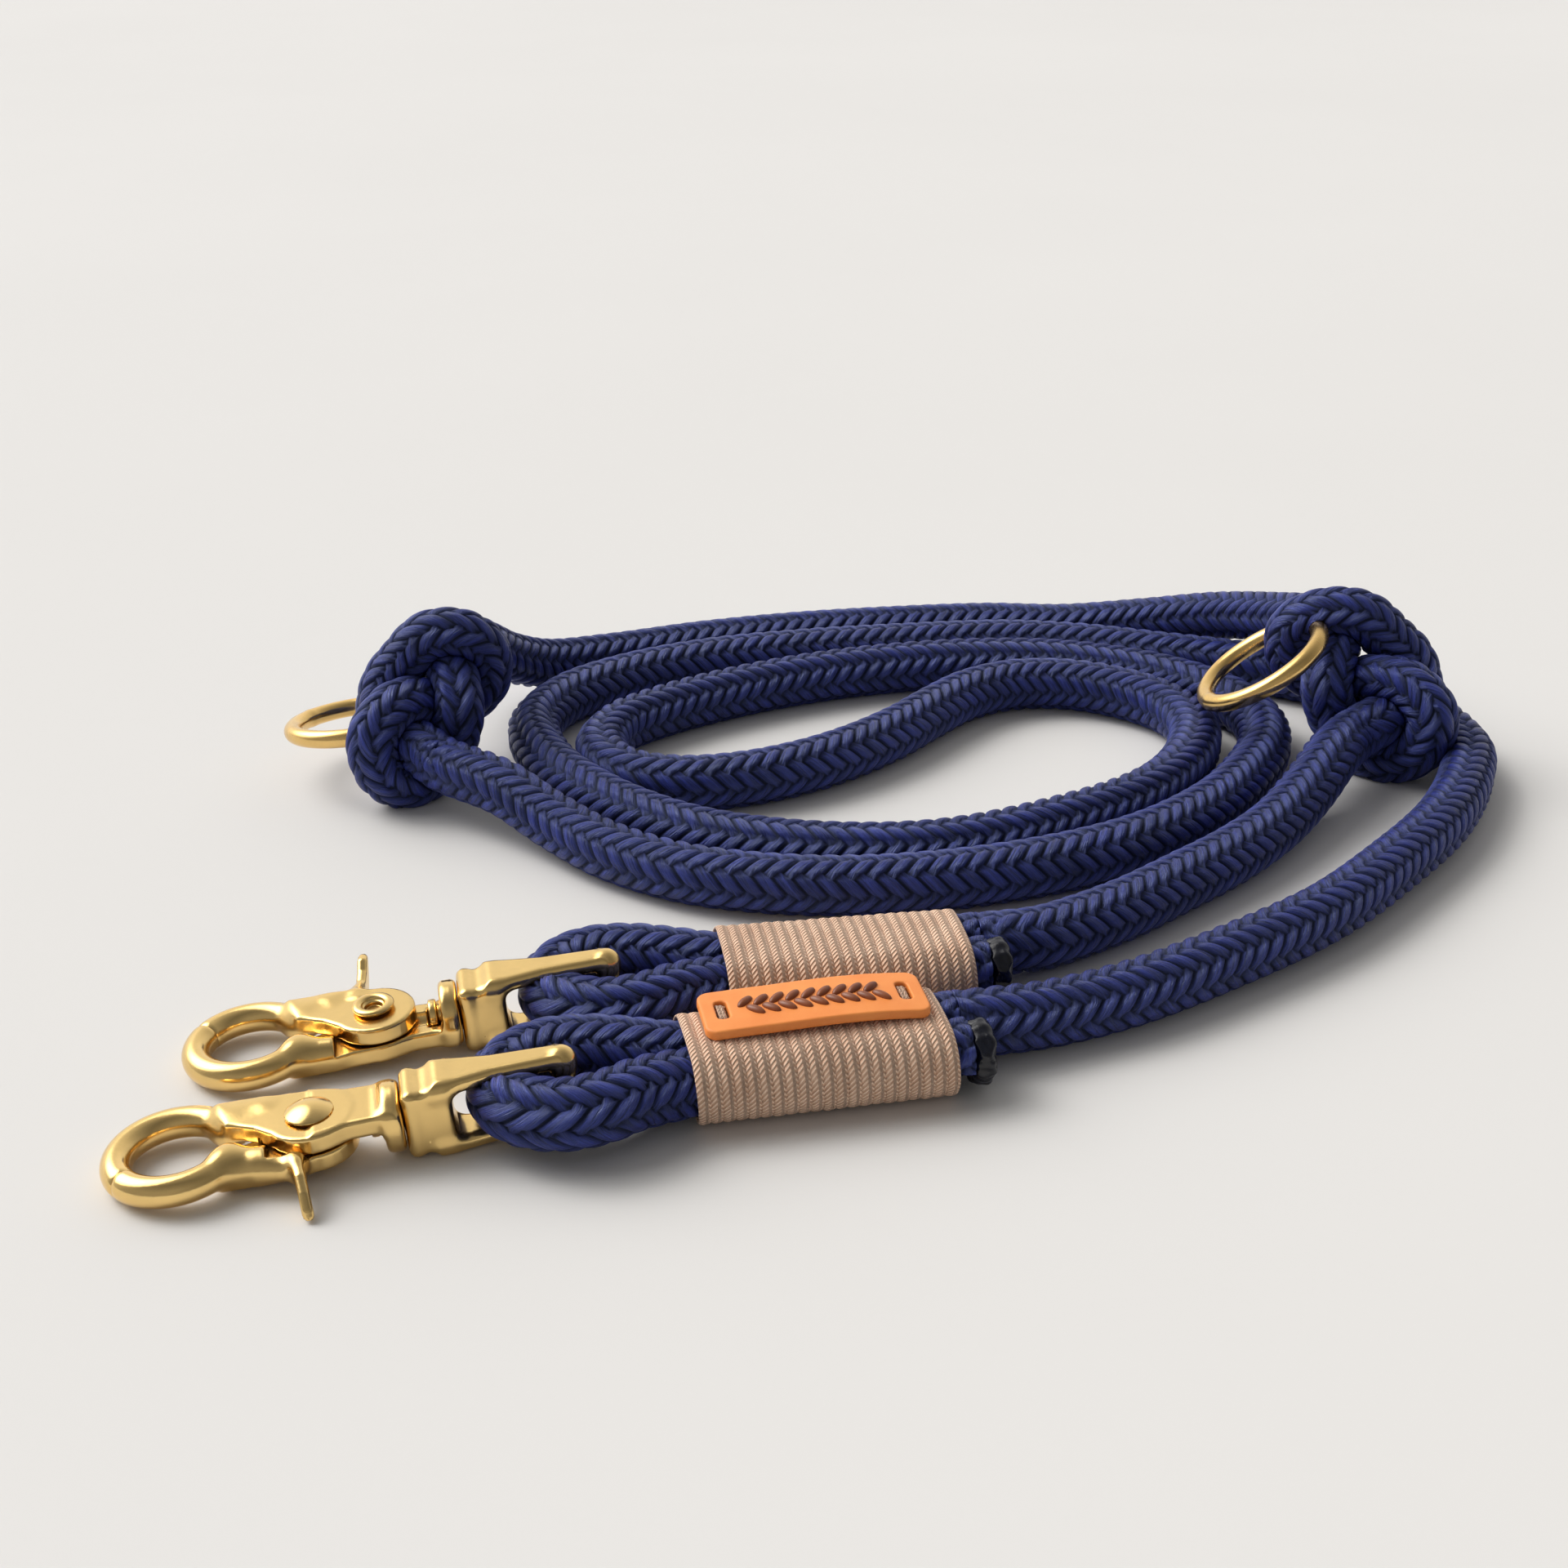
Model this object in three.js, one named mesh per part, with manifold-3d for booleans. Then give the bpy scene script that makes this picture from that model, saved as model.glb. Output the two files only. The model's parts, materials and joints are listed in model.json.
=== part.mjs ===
// A double-ended rope lead: one braided rope with a brass trigger snap spliced and whipped
// into each end, and two brass rings held in overhand knots along it. It lies coiled on a
// flat surface. Millimetres, +Z up; the surface is z = 0 and the origin is the middle of the
// space the lead covers.
import * as THREE from 'three';
import { mergeVertices } from 'three/addons/utils/BufferGeometryUtils.js';
import Module from 'manifold-3d';

const wasm = await Module();
wasm.setup();

// ---------------------------------------------------------------- driving dimensions
const gap = 0.35;                // between pieces that touch
const ropeDiameter = 12;
const knotDiameter = 8.2;        // the rope is squeezed where it is knotted
const ropeSides = 10;
const ropeStep = 18;             // length of one straight facet of a free stretch
const knotStep = 5;
const knotFoot = 5.6;            // height of the drawn knot's lowest turn
const knotSettle = 1.1;          // that turn is pressed down onto the surface

const whippingLength = 47;
const twineDiameter = 0.8;
const pairSpacing = 8.8;         // between the two rope centres inside a whipping
const whippingHeight = 7.15;     // of the whipped pair's middle above the surface
const tailLength = 2;            // rope standing out of the whipping before its melted end
const meltLength = 3.6;

const labelLength = 39;
const labelWidth = 13;
const labelThickness = 1.8;
const labelCorner = 2.2;
const labelOffset = 3;           // towards the far side of the whipping
const slotLength = 5.6;
const slotWidth = 2.2;
const slotInset = 3.6;           // slot centre from the label's end
const stitchDiameter = 1.2;

const ringRadius = 14.5;         // to the middle of the wire
const ringWire = 4;
const ringClearance = 0.5;       // of the knot round a ring's wire

const loopRadius = 9.5;          // hook loop, to the middle of its wire
const loopWire = 5;
const barToBlock = 18.6;         // along the snap from the bow's end bar
const blockLength = 8;
const blockWidth = 9;
const blockHeight = 12;
const collarLength = 3.6;
const collarRadius = 5.8;
const barToPivot = 41.6;
const barToLoop = 63.6;
const plateThickness = 3.2;
const plateRadius = 7.2;         // of the hook's plates around the rivet
const armThickness = 2.8;
const armWidth = 4.6;
const armInside = 4.2;           // half of the clear height between the bow's arms
const barRadius = 1.9;
const shankRadius = 1.9;
const shankHeadRadius = 2.9;
const shankHeadLength = 1.4;
const rivetRadius = 2;
const rivetHeadRadius = 3.5;
const rivetHeadHeight = 1.3;
const eyeletRadius = 3.1;
const eyeletHeight = 0.9;
const eyeletBore = 1.1;
const springRadius = 3.3;
const springWire = 0.9;
const springPocket = 4.3;
const leverReach = 21;           // from the snap's middle to the lever's tip
const leverTip = 2.6;            // along the snap from the pivot
const leverThickness = 2.2;
const tabHeight = 4.3;           // the tab across the lever's tip, away from the hook frame
const tabTop = 0.9;
const tabWidth = 2.6;
const tabThickness = 1.8;
const jawGapFrom = 213;          // degrees round the loop where the fixed jaw ends
const jawGapTo = 218;
const barHeight = 8.6;           // of the bow's middle above the surface at its bar
const snapRise = 4.5;            // degrees that a snap rises from its tip to its bow
const barBehindWhipping = 20;    // bow bar ahead of the whipping's mouth
const barAside = -2.7;

// The frame's origin is the middle of the lead's box.
const boxCentre = new THREE.Vector3(1.835, 0.315, 0);

// ---------------------------------------------------------------- the rope's route
// Middle line of the rope, point by point, from the front snap's whipping to the left knot,
// on to the right knot, and back to the rear snap's whipping.
const deg = Math.PI / 180;
const onFloor = ropeDiameter / 2 + 0.05;
const flat = (pairs) => pairs.map(([x, y]) => [x, y, onFloor]);

const frontCoil = flat([
  [25, -69], [41, -62], [61, -49], [83, -32], [101, -12.5], [117, 8], [127, 27], [131.5, 42],
  [129, 58], [119.5, 73], [106, 84.5], [90, 93], [72, 98.8], [52, 104.8], [33, 107], [7, 104.5],
  [-18, 100.5], [-42, 94], [-61, 84], [-74, 71.5], [-79.5, 56], [-75, 38], [-64, 21], [-52, 9],
  [-38, 0], [-15, -6], [10, -5], [36, 6], [55, 19], [67, 35], [72, 52], [68.5, 66], [59, 75.5],
  [46, 81], [33, 80.5], [22, 74.5], [13, 64.5], [4, 53], [-7, 42], [-18, 34], [-31, 28],
  [-45, 26], [-57, 30.5], [-63, 42], [-60.5, 54.5], [-51, 64.5], [-34, 76], [-14, 85.5],
  [6, 91.5], [27, 94.5], [46, 93.5], [65, 87], [79.5, 76], [87.5, 61.5], [87, 46], [80, 30],
  [69, 14], [53, -1], [35, -11], [9, -19], [-16, -21], [-40, -16.5], [-58, -6],
]).concat([[-71, 5.5, 7.5], [-82, 14.5, 10.5]]);

const betweenKnots = [
  [-93, 70, 20.5], [-88, 80, 13.5], [-80, 89.5, 8], [-65, 98.5, 6],
  [-42, 107, 6], [-18, 113.3, 6], [6, 117.2, 6], [30, 119.6, 6], [50, 117.5, 6.5],
  [70, 113.8, 9.5], [86, 105, 14.5], [97, 91.5, 19.5], [102, 80.5, 23],
];

const rearStretch = [
  [98, 29, 11.5], [90, 17, 8.5], [80, 3.5, 6.5], [69, -8.5, 6], [57, -19.5, 6],
  [45, -30, 6], [34, -38, 6.2], [26.5, -42.8, 6.6],
];

// An overhand knot, seen from in front, about the middle of its foot: in at the back, down
// the front, round the lower left, through the middle to the back right, over the top, and
// out through the lower loop.
const overhand = [
  [3.5, 19.5, 29.5], [2, 11, 30.5], [4.5, 3, 28.5], [6, -2, 22.5], [4, -3, 14.5], [-0.5, -5.5, 7.5],
  [-7, -10.5, 5.6], [-12.5, -13.5, 11], [-14, -13, 19.5], [-10.5, -8, 25], [-5.5, -2, 25],
  [-2, 4.5, 21], [5, 9, 20], [11, 10.5, 25.5], [11.5, 10.5, 34], [6, 8.5, 39.5], [-2, 7, 39.5],
  [-8, 6, 33.5], [-13, 4.5, 27], [-14, 1, 19.5], [-9, -4.5, 15.5], [-3, -10.5, 16],
  [3.5, -15.5, 14],
];
const leftKnotAt = [-99, 39];
const rightKnotAt = [107, 52];
const leftKnotSize = [0.86, 0.94, 0.82];     // of the drawn knot, along X, Y and Z
const rightKnotSize = [1.06, 0.96, 0.82];    // the looser one; it is drawn mirrored
const placed = (points, [x, y], side, size) => points.map((p) => [
  x + side * size[0] * p[0], y + size[1] * p[1],
  knotFoot - knotSettle + size[2] * (p[2] - knotFoot),
]);
const leftKnot = placed(overhand, leftKnotAt, 1, leftKnotSize).reverse();
const rightKnot = placed(overhand, rightKnotAt, -1, rightKnotSize);

// Each whipping: its mouth on the snap's side, and the direction that it points.
const ends = [
  { name: 'front', mouth: [-39.4, -88.6], turn: 11.5, snapTurn: 12, side: 1 },
  { name: 'rear', mouth: [-34, -58], turn: 8.5, snapTurn: 11, side: -1 },
];

const at = ([x, y], turn, along, aside, height) => new THREE.Vector3(
  x + along * Math.cos(turn * deg) - aside * Math.sin(turn * deg),
  y + along * Math.sin(turn * deg) + aside * Math.cos(turn * deg),
  height,
);
const outOf = (end, along) => at(
  end.mouth, end.turn, whippingLength + along, pairSpacing / 2, whippingHeight,
).toArray();

const whole = [
  outOf(ends[0], tailLength), outOf(ends[0], tailLength + 5), ...frontCoil, ...leftKnot,
  ...betweenKnots, ...rightKnot, ...rearStretch, outOf(ends[1], tailLength + 5),
  outOf(ends[1], tailLength),
];

// Arc length along the smooth curve through the points, and the places of the knots' ends.
const routeSamples = 24;         // between one point and the next
const route = new THREE.CatmullRomCurve3(whole.map((p) => new THREE.Vector3(...p)));
const fine = [];
const stations = [0];
for (let i = 0; i <= (whole.length - 1) * routeSamples; i += 1) {
  fine.push(route.getPoint(i / ((whole.length - 1) * routeSamples)));
  if (i > 0) stations.push(stations[i - 1] + fine[i].distanceTo(fine[i - 1]));
}
const stationOf = (index) => stations[index * routeSamples];

function pointAt(station) {
  let i = 1;
  while (i < stations.length - 1 && stations[i] < station) i += 1;
  const share = (station - stations[i - 1]) / (stations[i] - stations[i - 1]);
  return fine[i - 1].clone().lerp(fine[i], share);
}

const afterCoil = 2 + frontCoil.length;
const afterLeft = afterCoil + leftKnot.length;
const afterBetween = afterLeft + betweenKnots.length;
const afterRight = afterBetween + rightKnot.length;

// ---------------------------------------------------------------- shape helpers
const brass = () => new THREE.MeshStandardMaterial(
  { color: 0xc9a24a, roughness: 0.22, metalness: 1 },
);
const ropeFabric = () => new THREE.MeshStandardMaterial(
  { color: 0x1f2a63, roughness: 0.55, metalness: 0 },
);
const twine = () => new THREE.MeshStandardMaterial(
  { color: 0xc4a083, roughness: 0.8, metalness: 0 },
);
const labelRubber = () => new THREE.MeshStandardMaterial(
  { color: 0xe8853c, roughness: 0.6, metalness: 0 },
);
const meltedRope = () => new THREE.MeshStandardMaterial(
  { color: 0x0c0e18, roughness: 0.3, metalness: 0 },
);
const springSteel = () => new THREE.MeshStandardMaterial(
  { color: 0x8f9296, roughness: 0.35, metalness: 1 },
);

function solid(geometry) {
  const bare = geometry.index ? geometry.toNonIndexed() : geometry.clone();
  bare.deleteAttribute('normal');
  bare.deleteAttribute('uv');
  const merged = mergeVertices(bare, 1e-4);
  return new wasm.Manifold(new wasm.Mesh({
    numProp: 3,
    vertProperties: new Float32Array(merged.attributes.position.array),
    triVerts: new Uint32Array(merged.index.array),
  }));
}

function geometryOf(manifold) {
  const { vertProperties, triVerts } = manifold.getMesh();
  const geometry = new THREE.BufferGeometry();
  geometry.setAttribute('position', new THREE.BufferAttribute(vertProperties, 3));
  geometry.setIndex(new THREE.BufferAttribute(triVerts, 1));
  return geometry;
}

function polygon(radius, sides) {
  const corners = [];
  for (let i = 0; i < sides; i += 1) {
    const angle = (i + 0.5) * 2 * Math.PI / sides;
    corners.push(new THREE.Vector2(radius * Math.cos(angle), radius * Math.sin(angle)));
  }
  return new THREE.Shape(corners);
}

function tubeAlong(points, diameter, steps, sides = ropeSides) {
  return new THREE.ExtrudeGeometry(polygon(diameter / 2, sides), {
    steps, bevelEnabled: false, extrudePath: new THREE.CatmullRomCurve3(points),
  });
}

function stretch(from, to, step, diameter) {
  // two more points close to the ends keep the end faces square to the rope
  const steps = Math.max(1, Math.round((to - from) / step));
  const nearEnd = 1.5;
  const points = [pointAt(from), pointAt(from + nearEnd)];
  for (let i = 1; i < steps * 2; i += 1) {
    points.push(pointAt(from + (to - from) * i / (steps * 2)));
  }
  points.push(pointAt(to - nearEnd), pointAt(to));
  return tubeAlong(points, diameter, steps);
}

function slab(shape, bottom, top, curveSegments = 10) {
  const geometry = new THREE.ExtrudeGeometry(shape, {
    depth: top - bottom, bevelEnabled: false, curveSegments,
  });
  return geometry.translate(0, 0, bottom);
}

function barrel(radius, from, to, sides = 20) {
  // a cylinder along X
  const geometry = new THREE.CylinderGeometry(radius, radius, to - from, sides);
  return geometry.rotateZ(Math.PI / 2).translate((from + to) / 2, 0, 0);
}

function post(radius, bottom, top, x, sides = 20) {
  // a cylinder along Z
  const geometry = new THREE.CylinderGeometry(radius, radius, top - bottom, sides);
  return geometry.rotateX(Math.PI / 2).translate(x, 0, (bottom + top) / 2);
}

function block(x0, x1, width, z0, z1) {
  const geometry = new THREE.BoxGeometry(x1 - x0, width, z1 - z0);
  return geometry.translate((x0 + x1) / 2, 0, (z0 + z1) / 2);
}

const lead = new THREE.Group();
lead.position.copy(boxCentre).negate();

function addTo(group, name, geometry, material) {
  const mesh = new THREE.Mesh(geometry, material);
  mesh.name = name;
  group.add(mesh);
  return mesh;
}

// ---------------------------------------------------------------- rings
// A ring lies in the plane of its two directions; the knot is tied round part of it.
const rings = [
  { name: 'ring_left', knot: leftKnotAt, centre: [-18.5, 4.5, 13], tip: [-8, 7.5, -8] },
  { name: 'ring_right', knot: rightKnotAt, centre: [-20.5, 2, 22.5], tip: [5, 34, -8] },
];

function ringPlace(ring) {
  const place = new THREE.Group();
  place.position.set(ring.knot[0] + ring.centre[0], ring.knot[1] + ring.centre[1],
    ring.centre[2]);
  place.rotation.set(ring.tip[2] * deg, -ring.tip[1] * deg, ring.tip[0] * deg, 'ZYX');
  place.updateMatrixWorld();
  return place;
}

function torus(wire) {
  return new THREE.TorusGeometry(ringRadius, wire / 2, 12, 48);
}

// ---------------------------------------------------------------- free stretches and knots
const jointGap = 1.2;            // where a free stretch runs into a knot
const halfGap = jointGap / 2;
const coilEnd = stationOf(afterCoil);
const leftEnd = stationOf(afterLeft - 1);
const betweenEnd = stationOf(afterBetween);
const rightEnd = stationOf(afterRight - 1);
const ropeEnd = stations[stations.length - 1];

addTo(lead, 'rope_long', stretch(gap, coilEnd - halfGap, ropeStep, ropeDiameter), ropeFabric());
addTo(lead, 'rope_middle', stretch(leftEnd + halfGap, betweenEnd - halfGap, ropeStep,
  ropeDiameter), ropeFabric());
addTo(lead, 'rope_short', stretch(rightEnd + halfGap, ropeEnd - gap, ropeStep,
  ropeDiameter), ropeFabric());

function knotSolid(from, to, ring) {
  const knot = solid(stretch(from + halfGap, to - halfGap, knotStep, knotDiameter));
  const clear = torus(ringWire + 2 * ringClearance);
  return geometryOf(knot.subtract(solid(clear.applyMatrix4(ringPlace(ring).matrix))));
}
addTo(lead, 'knot_left', knotSolid(coilEnd, leftEnd, rings[0]), ropeFabric());
addTo(lead, 'knot_right', knotSolid(betweenEnd, rightEnd, rings[1]), ropeFabric());

for (const ring of rings) {
  const place = ringPlace(ring);
  addTo(place, ring.name, torus(ringWire), brass());
  lead.add(place);
}

// ---------------------------------------------------------------- eyes, whippings, label
// The eye of one rope end, from the whipping's far mouth round the bow's bar and back.
// Distances are along the whipping from its mouth, and aside from its middle.
const pairSide = pairSpacing / 2;
const pairEnd = whippingLength + tailLength;
const eyeRoute = [
  [pairEnd, pairSide], [24, pairSide], [0, pairSide], [-8, 5.7], [-15, 7.2], [-22, 7.4],
  [-28, 4.2], [-30.5, -2], [-28.3, -8], [-22, -11.2], [-15, -10.6], [-8, -7], [0, -pairSide],
  [24, -pairSide], [pairEnd, -pairSide],
];
const nose = 7;                  // the point of the eye's route furthest from the whipping
const eyeSteps = 14;

function barPlace(end) {
  const place = new THREE.Group();
  place.position.copy(at(end.mouth, end.turn, -barBehindWhipping, barAside, barHeight));
  place.rotation.set(0, -snapRise * deg, end.snapTurn * deg, 'ZYX');
  place.updateMatrixWorld();
  return place;
}

function eyePoints(end, from, to) {
  return eyeRoute.slice(from, to).map(([along, aside]) => {
    const lift = (barHeight - whippingHeight) * Math.min(1, Math.max(0, -along) / 12);
    return at(end.mouth, end.turn, along, aside, whippingHeight + lift);
  });
}

function eyeSolid(end) {
  const outward = tubeAlong(eyePoints(end, 0, nose + 2), ropeDiameter, eyeSteps);
  const back = tubeAlong(eyePoints(end, nose - 1, eyeRoute.length), ropeDiameter, eyeSteps);
  let eye = solid(outward).add(solid(back));
  // the rope is pressed flat where it lies between the bow's arms
  const pressed = armInside - gap;
  for (const side of [-1, 1]) {
    const press = block(-barToBlock, barRadius + 3, blockWidth + 5, pressed, ropeDiameter);
    if (side < 0) press.rotateX(Math.PI);
    eye = eye.subtract(solid(press.applyMatrix4(barPlace(end).matrix)));
  }
  return geometryOf(eye);
}

function stadium(radius) {
  const shape = new THREE.Shape();
  shape.absarc(pairSide, 0, radius, -Math.PI / 2, Math.PI / 2);
  shape.absarc(-pairSide, 0, radius, Math.PI / 2, Math.PI * 3 / 2);
  shape.closePath();
  return shape;
}

function alongWhipping(shape, from, to) {
  // a section drawn as (aside, height), run along the whipping
  const geometry = slab(shape, from, to);
  return geometry.rotateY(Math.PI / 2).rotateX(Math.PI / 2);
}

function roundedPlate(length, width, corner, middle = 0) {
  const [x, y] = [length / 2 - corner, width / 2 - corner];
  const shape = new THREE.Shape();
  shape.absarc(middle + x, y, corner, 0, Math.PI / 2);
  shape.absarc(middle - x, y, corner, Math.PI / 2, Math.PI);
  shape.absarc(middle - x, -y, corner, Math.PI, Math.PI * 3 / 2);
  shape.absarc(middle + x, -y, corner, Math.PI * 3 / 2, Math.PI * 2);
  shape.closePath();
  return shape;
}

const whippingTop = ropeDiameter / 2 + gap + twineDiameter;
const slotAt = labelLength / 2 - slotInset;

function meltedEnd() {
  const radius = ropeDiameter / 2 - 0.3;
  const chord = pairSide - (ropeDiameter / 2 - pairSide) - gap;
  const reach = Math.acos((pairSide - chord) / radius);
  const shape = new THREE.Shape();
  shape.absarc(-pairSide, 0, radius, reach, 2 * Math.PI - reach);
  shape.closePath();
  const from = pairEnd + gap;
  return alongWhipping(shape, from, from + meltLength);
}

for (const end of ends) {
  addTo(lead, `rope_eye_${end.name}`, eyeSolid(end), ropeFabric());
  const place = new THREE.Group();
  place.position.set(...end.mouth, whippingHeight);
  place.rotation.z = end.turn * deg;
  const sleeve = stadium(whippingTop);
  sleeve.holes.push(stadium(ropeDiameter / 2 + gap));
  addTo(place, `whipping_${end.name}`, alongWhipping(sleeve, 0, whippingLength), twine());
  addTo(place, `melted_end_${end.name}`, meltedEnd(), meltedRope());
  lead.add(place);
  if (end.name === 'front') {
    const label = new THREE.Group();
    label.position.set(whippingLength / 2, labelOffset, whippingTop + gap);
    const plate = roundedPlate(labelLength, labelWidth, labelCorner);
    for (const side of [-1, 1]) {
      plate.holes.push(roundedPlate(slotWidth, slotLength, slotWidth * 0.45, side * slotAt));
      const stitch = new THREE.CapsuleGeometry(stitchDiameter / 2,
        slotLength - stitchDiameter - 2 * gap, 4, 10);
      stitch.translate(side * slotAt, 0, labelThickness / 2);
      addTo(label, side < 0 ? 'label_stitch_left' : 'label_stitch_right', stitch, twine());
    }
    addTo(label, 'label', slab(plate, 0, labelThickness, 6), labelRubber());
    place.add(label);
  }
}

// ---------------------------------------------------------------- trigger snaps
// Each snap is drawn about its bow's bar, with its tip towards -X and its loop lying flat.
const collarStart = -(barToBlock + blockLength + gap);
const collarEnd = collarStart - collarLength;
const headStart = collarEnd - gap;
const headEnd = headStart - shankHeadLength;
const plateGap = 0.2;            // from the snap's middle plane to each plate

function bowGeometry() {
  let bow = solid(post(barRadius, -armInside - 1, armInside + 1, 0));
  for (const side of [-1, 1]) {
    const [low, high] = [side * armInside, side * (armInside + armThickness)].sort((a, b) => a - b);
    bow = bow.add(solid(block(-barToBlock - 1, 0, armWidth, low, high)));
    bow = bow.add(solid(post(armWidth / 2, low, high, 0)));
  }
  const end = -barToBlock - blockLength;
  bow = bow.add(solid(block(end, -barToBlock, blockWidth, -blockHeight / 2, blockHeight / 2)));
  bow = bow.add(solid(barrel(shankRadius, headEnd + 0.5, end + 1)));
  return geometryOf(bow.add(solid(barrel(shankHeadRadius, headEnd, headStart))));
}

function jaw(fromDegrees, toDegrees) {
  const points = [];
  const parts = 12;
  for (let i = 0; i <= parts; i += 1) {
    const angle = (fromDegrees + (toDegrees - fromDegrees) * i / parts) * deg;
    points.push(new THREE.Vector3(
      -barToLoop + loopRadius * Math.cos(angle), loopRadius * Math.sin(angle), 0,
    ));
  }
  return tubeAlong(points, loopWire, parts, 12);
}

// A full-height stub that carries a jaw on to its plate; it stops short of the other plate.
function jawRoot(side) {
  const [start, stop] = [loopRadius - barToLoop - 2, -barToPivot - plateRadius - 0.5];
  return barrel(loopWire / 2 - 0.1, start, stop, 16).translate(0, side * 5.3, 0);
}

// The plate that joins one jaw to the rivet, drawn for the jaw on side +1 or -1.
function plateShape(side) {
  const pivot = -barToPivot;
  const shape = new THREE.Shape();
  const loopRight = -barToLoop + loopRadius;
  shape.moveTo(pivot, side * plateRadius);
  shape.lineTo(loopRight + 1.2, side * 7.8);
  shape.lineTo(loopRight - 2.4, side * 7.2);
  shape.lineTo(loopRight - 0.4, side * 2.2);
  shape.lineTo(loopRight + 4, -side * 0.5);
  shape.lineTo(pivot - plateRadius * 0.87, -side * plateRadius * 0.5);
  if (side > 0) shape.absarc(pivot, 0, plateRadius, 210 * deg, 450 * deg);
  else shape.absarc(pivot, 0, plateRadius, 150 * deg, -90 * deg, true);
  return shape;
}

function hookFrameGeometry() {
  const neckTop = plateGap + plateThickness + 1.2;
  const neckEnd = -barToPivot + plateRadius - 1;
  const bore = shankRadius + gap;
  const pocket = shankHeadRadius + gap;
  return geometryOf(solid(slab(plateShape(1), plateGap, plateGap + plateThickness))
    .add(solid(jaw(24, jawGapFrom)))
    .add(solid(jawRoot(1)))
    .add(solid(barrel(collarRadius, collarEnd, collarStart, 24)))
    .add(solid(block(neckEnd, collarStart - 1, 2 * collarRadius - 1.4, plateGap, neckTop)))
    .subtract(solid(barrel(bore, collarEnd - 1, collarStart + 1)))
    .subtract(solid(barrel(pocket, headEnd - gap, collarEnd)))
    .subtract(solid(post(rivetRadius + gap, -9, 9, -barToPivot))));
}

function gateGeometry() {
  const [low, high] = [-plateGap - plateThickness, -plateGap];
  const pivot = -barToPivot;
  const lever = new THREE.Shape([
    [-6, -5], [1.6, -6], [-0.4, -9], [1.2, -15], [leverTip, -leverReach],
    [leverTip - tabWidth, -leverReach], [-1.4, -16], [-4.4, -10],
  ].map(([x, y]) => new THREE.Vector2(pivot + x, y)));
  const leverLow = -plateGap - leverThickness - 0.4;
  const leverHigh = leverLow + leverThickness;
  const tab = block(pivot + leverTip - tabWidth, pivot + leverTip, tabThickness,
    leverHigh - tabHeight, tabTop);
  tab.translate(0, tabThickness / 2 - leverReach, 0);
  return geometryOf(solid(slab(plateShape(-1), low, high))
    .add(solid(jaw(336, jawGapTo)))
    .add(solid(jawRoot(-1)))
    .add(solid(slab(lever, leverLow, leverHigh)))
    .add(solid(tab))
    .subtract(solid(post(springPocket, high - springWire - 2 * gap, 9, pivot)))
    .subtract(solid(post(rivetRadius + gap, -9, 9, pivot))));
}

function rivetGeometry() {
  const face = plateGap + plateThickness + gap;
  const profile = [
    [0, face + rivetHeadHeight], [2, face + rivetHeadHeight * 0.86],
    [3.1, face + rivetHeadHeight * 0.45], [rivetHeadRadius, face], [rivetRadius, face],
    [rivetRadius, -face], [eyeletRadius, -face], [eyeletRadius, -face - eyeletHeight],
    [eyeletBore, -face - eyeletHeight], [eyeletBore, -face + 0.6], [0, -face + 0.6],
  ].map(([r, z]) => new THREE.Vector2(r, z)).reverse();
  return new THREE.LatheGeometry(profile, 20).rotateX(Math.PI / 2).translate(-barToPivot, 0, 0);
}

function springGeometry() {
  const middle = -plateGap - gap - springWire / 2;
  return new THREE.TorusGeometry(springRadius, springWire / 2, 8, 24)
    .translate(-barToPivot, 0, middle);
}

for (const end of ends) {
  const snap = barPlace(end);
  addTo(snap, `bow_${end.name}`, bowGeometry(), brass());
  const hook = new THREE.Group();
  hook.rotation.x = end.side > 0 ? 0 : Math.PI;
  addTo(hook, `hook_frame_${end.name}`, hookFrameGeometry(), brass());
  addTo(hook, `trigger_jaw_${end.name}`, gateGeometry(), brass());
  addTo(hook, `rivet_${end.name}`, rivetGeometry(), brass());
  addTo(hook, `trigger_spring_${end.name}`, springGeometry(), springSteel());
  snap.add(hook);
  lead.add(snap);
}

export default lead;
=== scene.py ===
# %% [markdown]
# # A coiled lead rope with two brass trigger snaps
#
# The lead is one plaited rope. A brass snap is spliced and whipped into each end, and two brass
# rings are held in overhand knots along it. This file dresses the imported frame: the frame says
# where every piece is and what it moves with, and this file says what it looks like.
# Lengths are written in millimetres and multiplied by `mm`, because Blender counts in metres.

# %% The frame
import json
import math

import bpy
import numpy as np
from mathutils import Matrix, Vector


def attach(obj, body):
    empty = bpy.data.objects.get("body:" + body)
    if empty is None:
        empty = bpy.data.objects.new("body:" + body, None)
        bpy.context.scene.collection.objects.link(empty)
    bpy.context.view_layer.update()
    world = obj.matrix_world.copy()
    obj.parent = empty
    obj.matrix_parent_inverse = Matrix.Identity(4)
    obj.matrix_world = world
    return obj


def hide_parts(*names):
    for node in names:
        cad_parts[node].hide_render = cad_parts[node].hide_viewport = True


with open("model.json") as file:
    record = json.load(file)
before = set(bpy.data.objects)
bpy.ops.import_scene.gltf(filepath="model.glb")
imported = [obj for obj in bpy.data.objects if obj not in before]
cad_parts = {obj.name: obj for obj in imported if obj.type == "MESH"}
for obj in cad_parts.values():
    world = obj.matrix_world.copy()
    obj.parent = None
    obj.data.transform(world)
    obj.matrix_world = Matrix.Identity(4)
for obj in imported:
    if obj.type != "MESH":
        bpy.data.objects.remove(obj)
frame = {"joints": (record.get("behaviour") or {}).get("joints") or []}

mm = 0.001
degree = math.pi / 180
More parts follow.
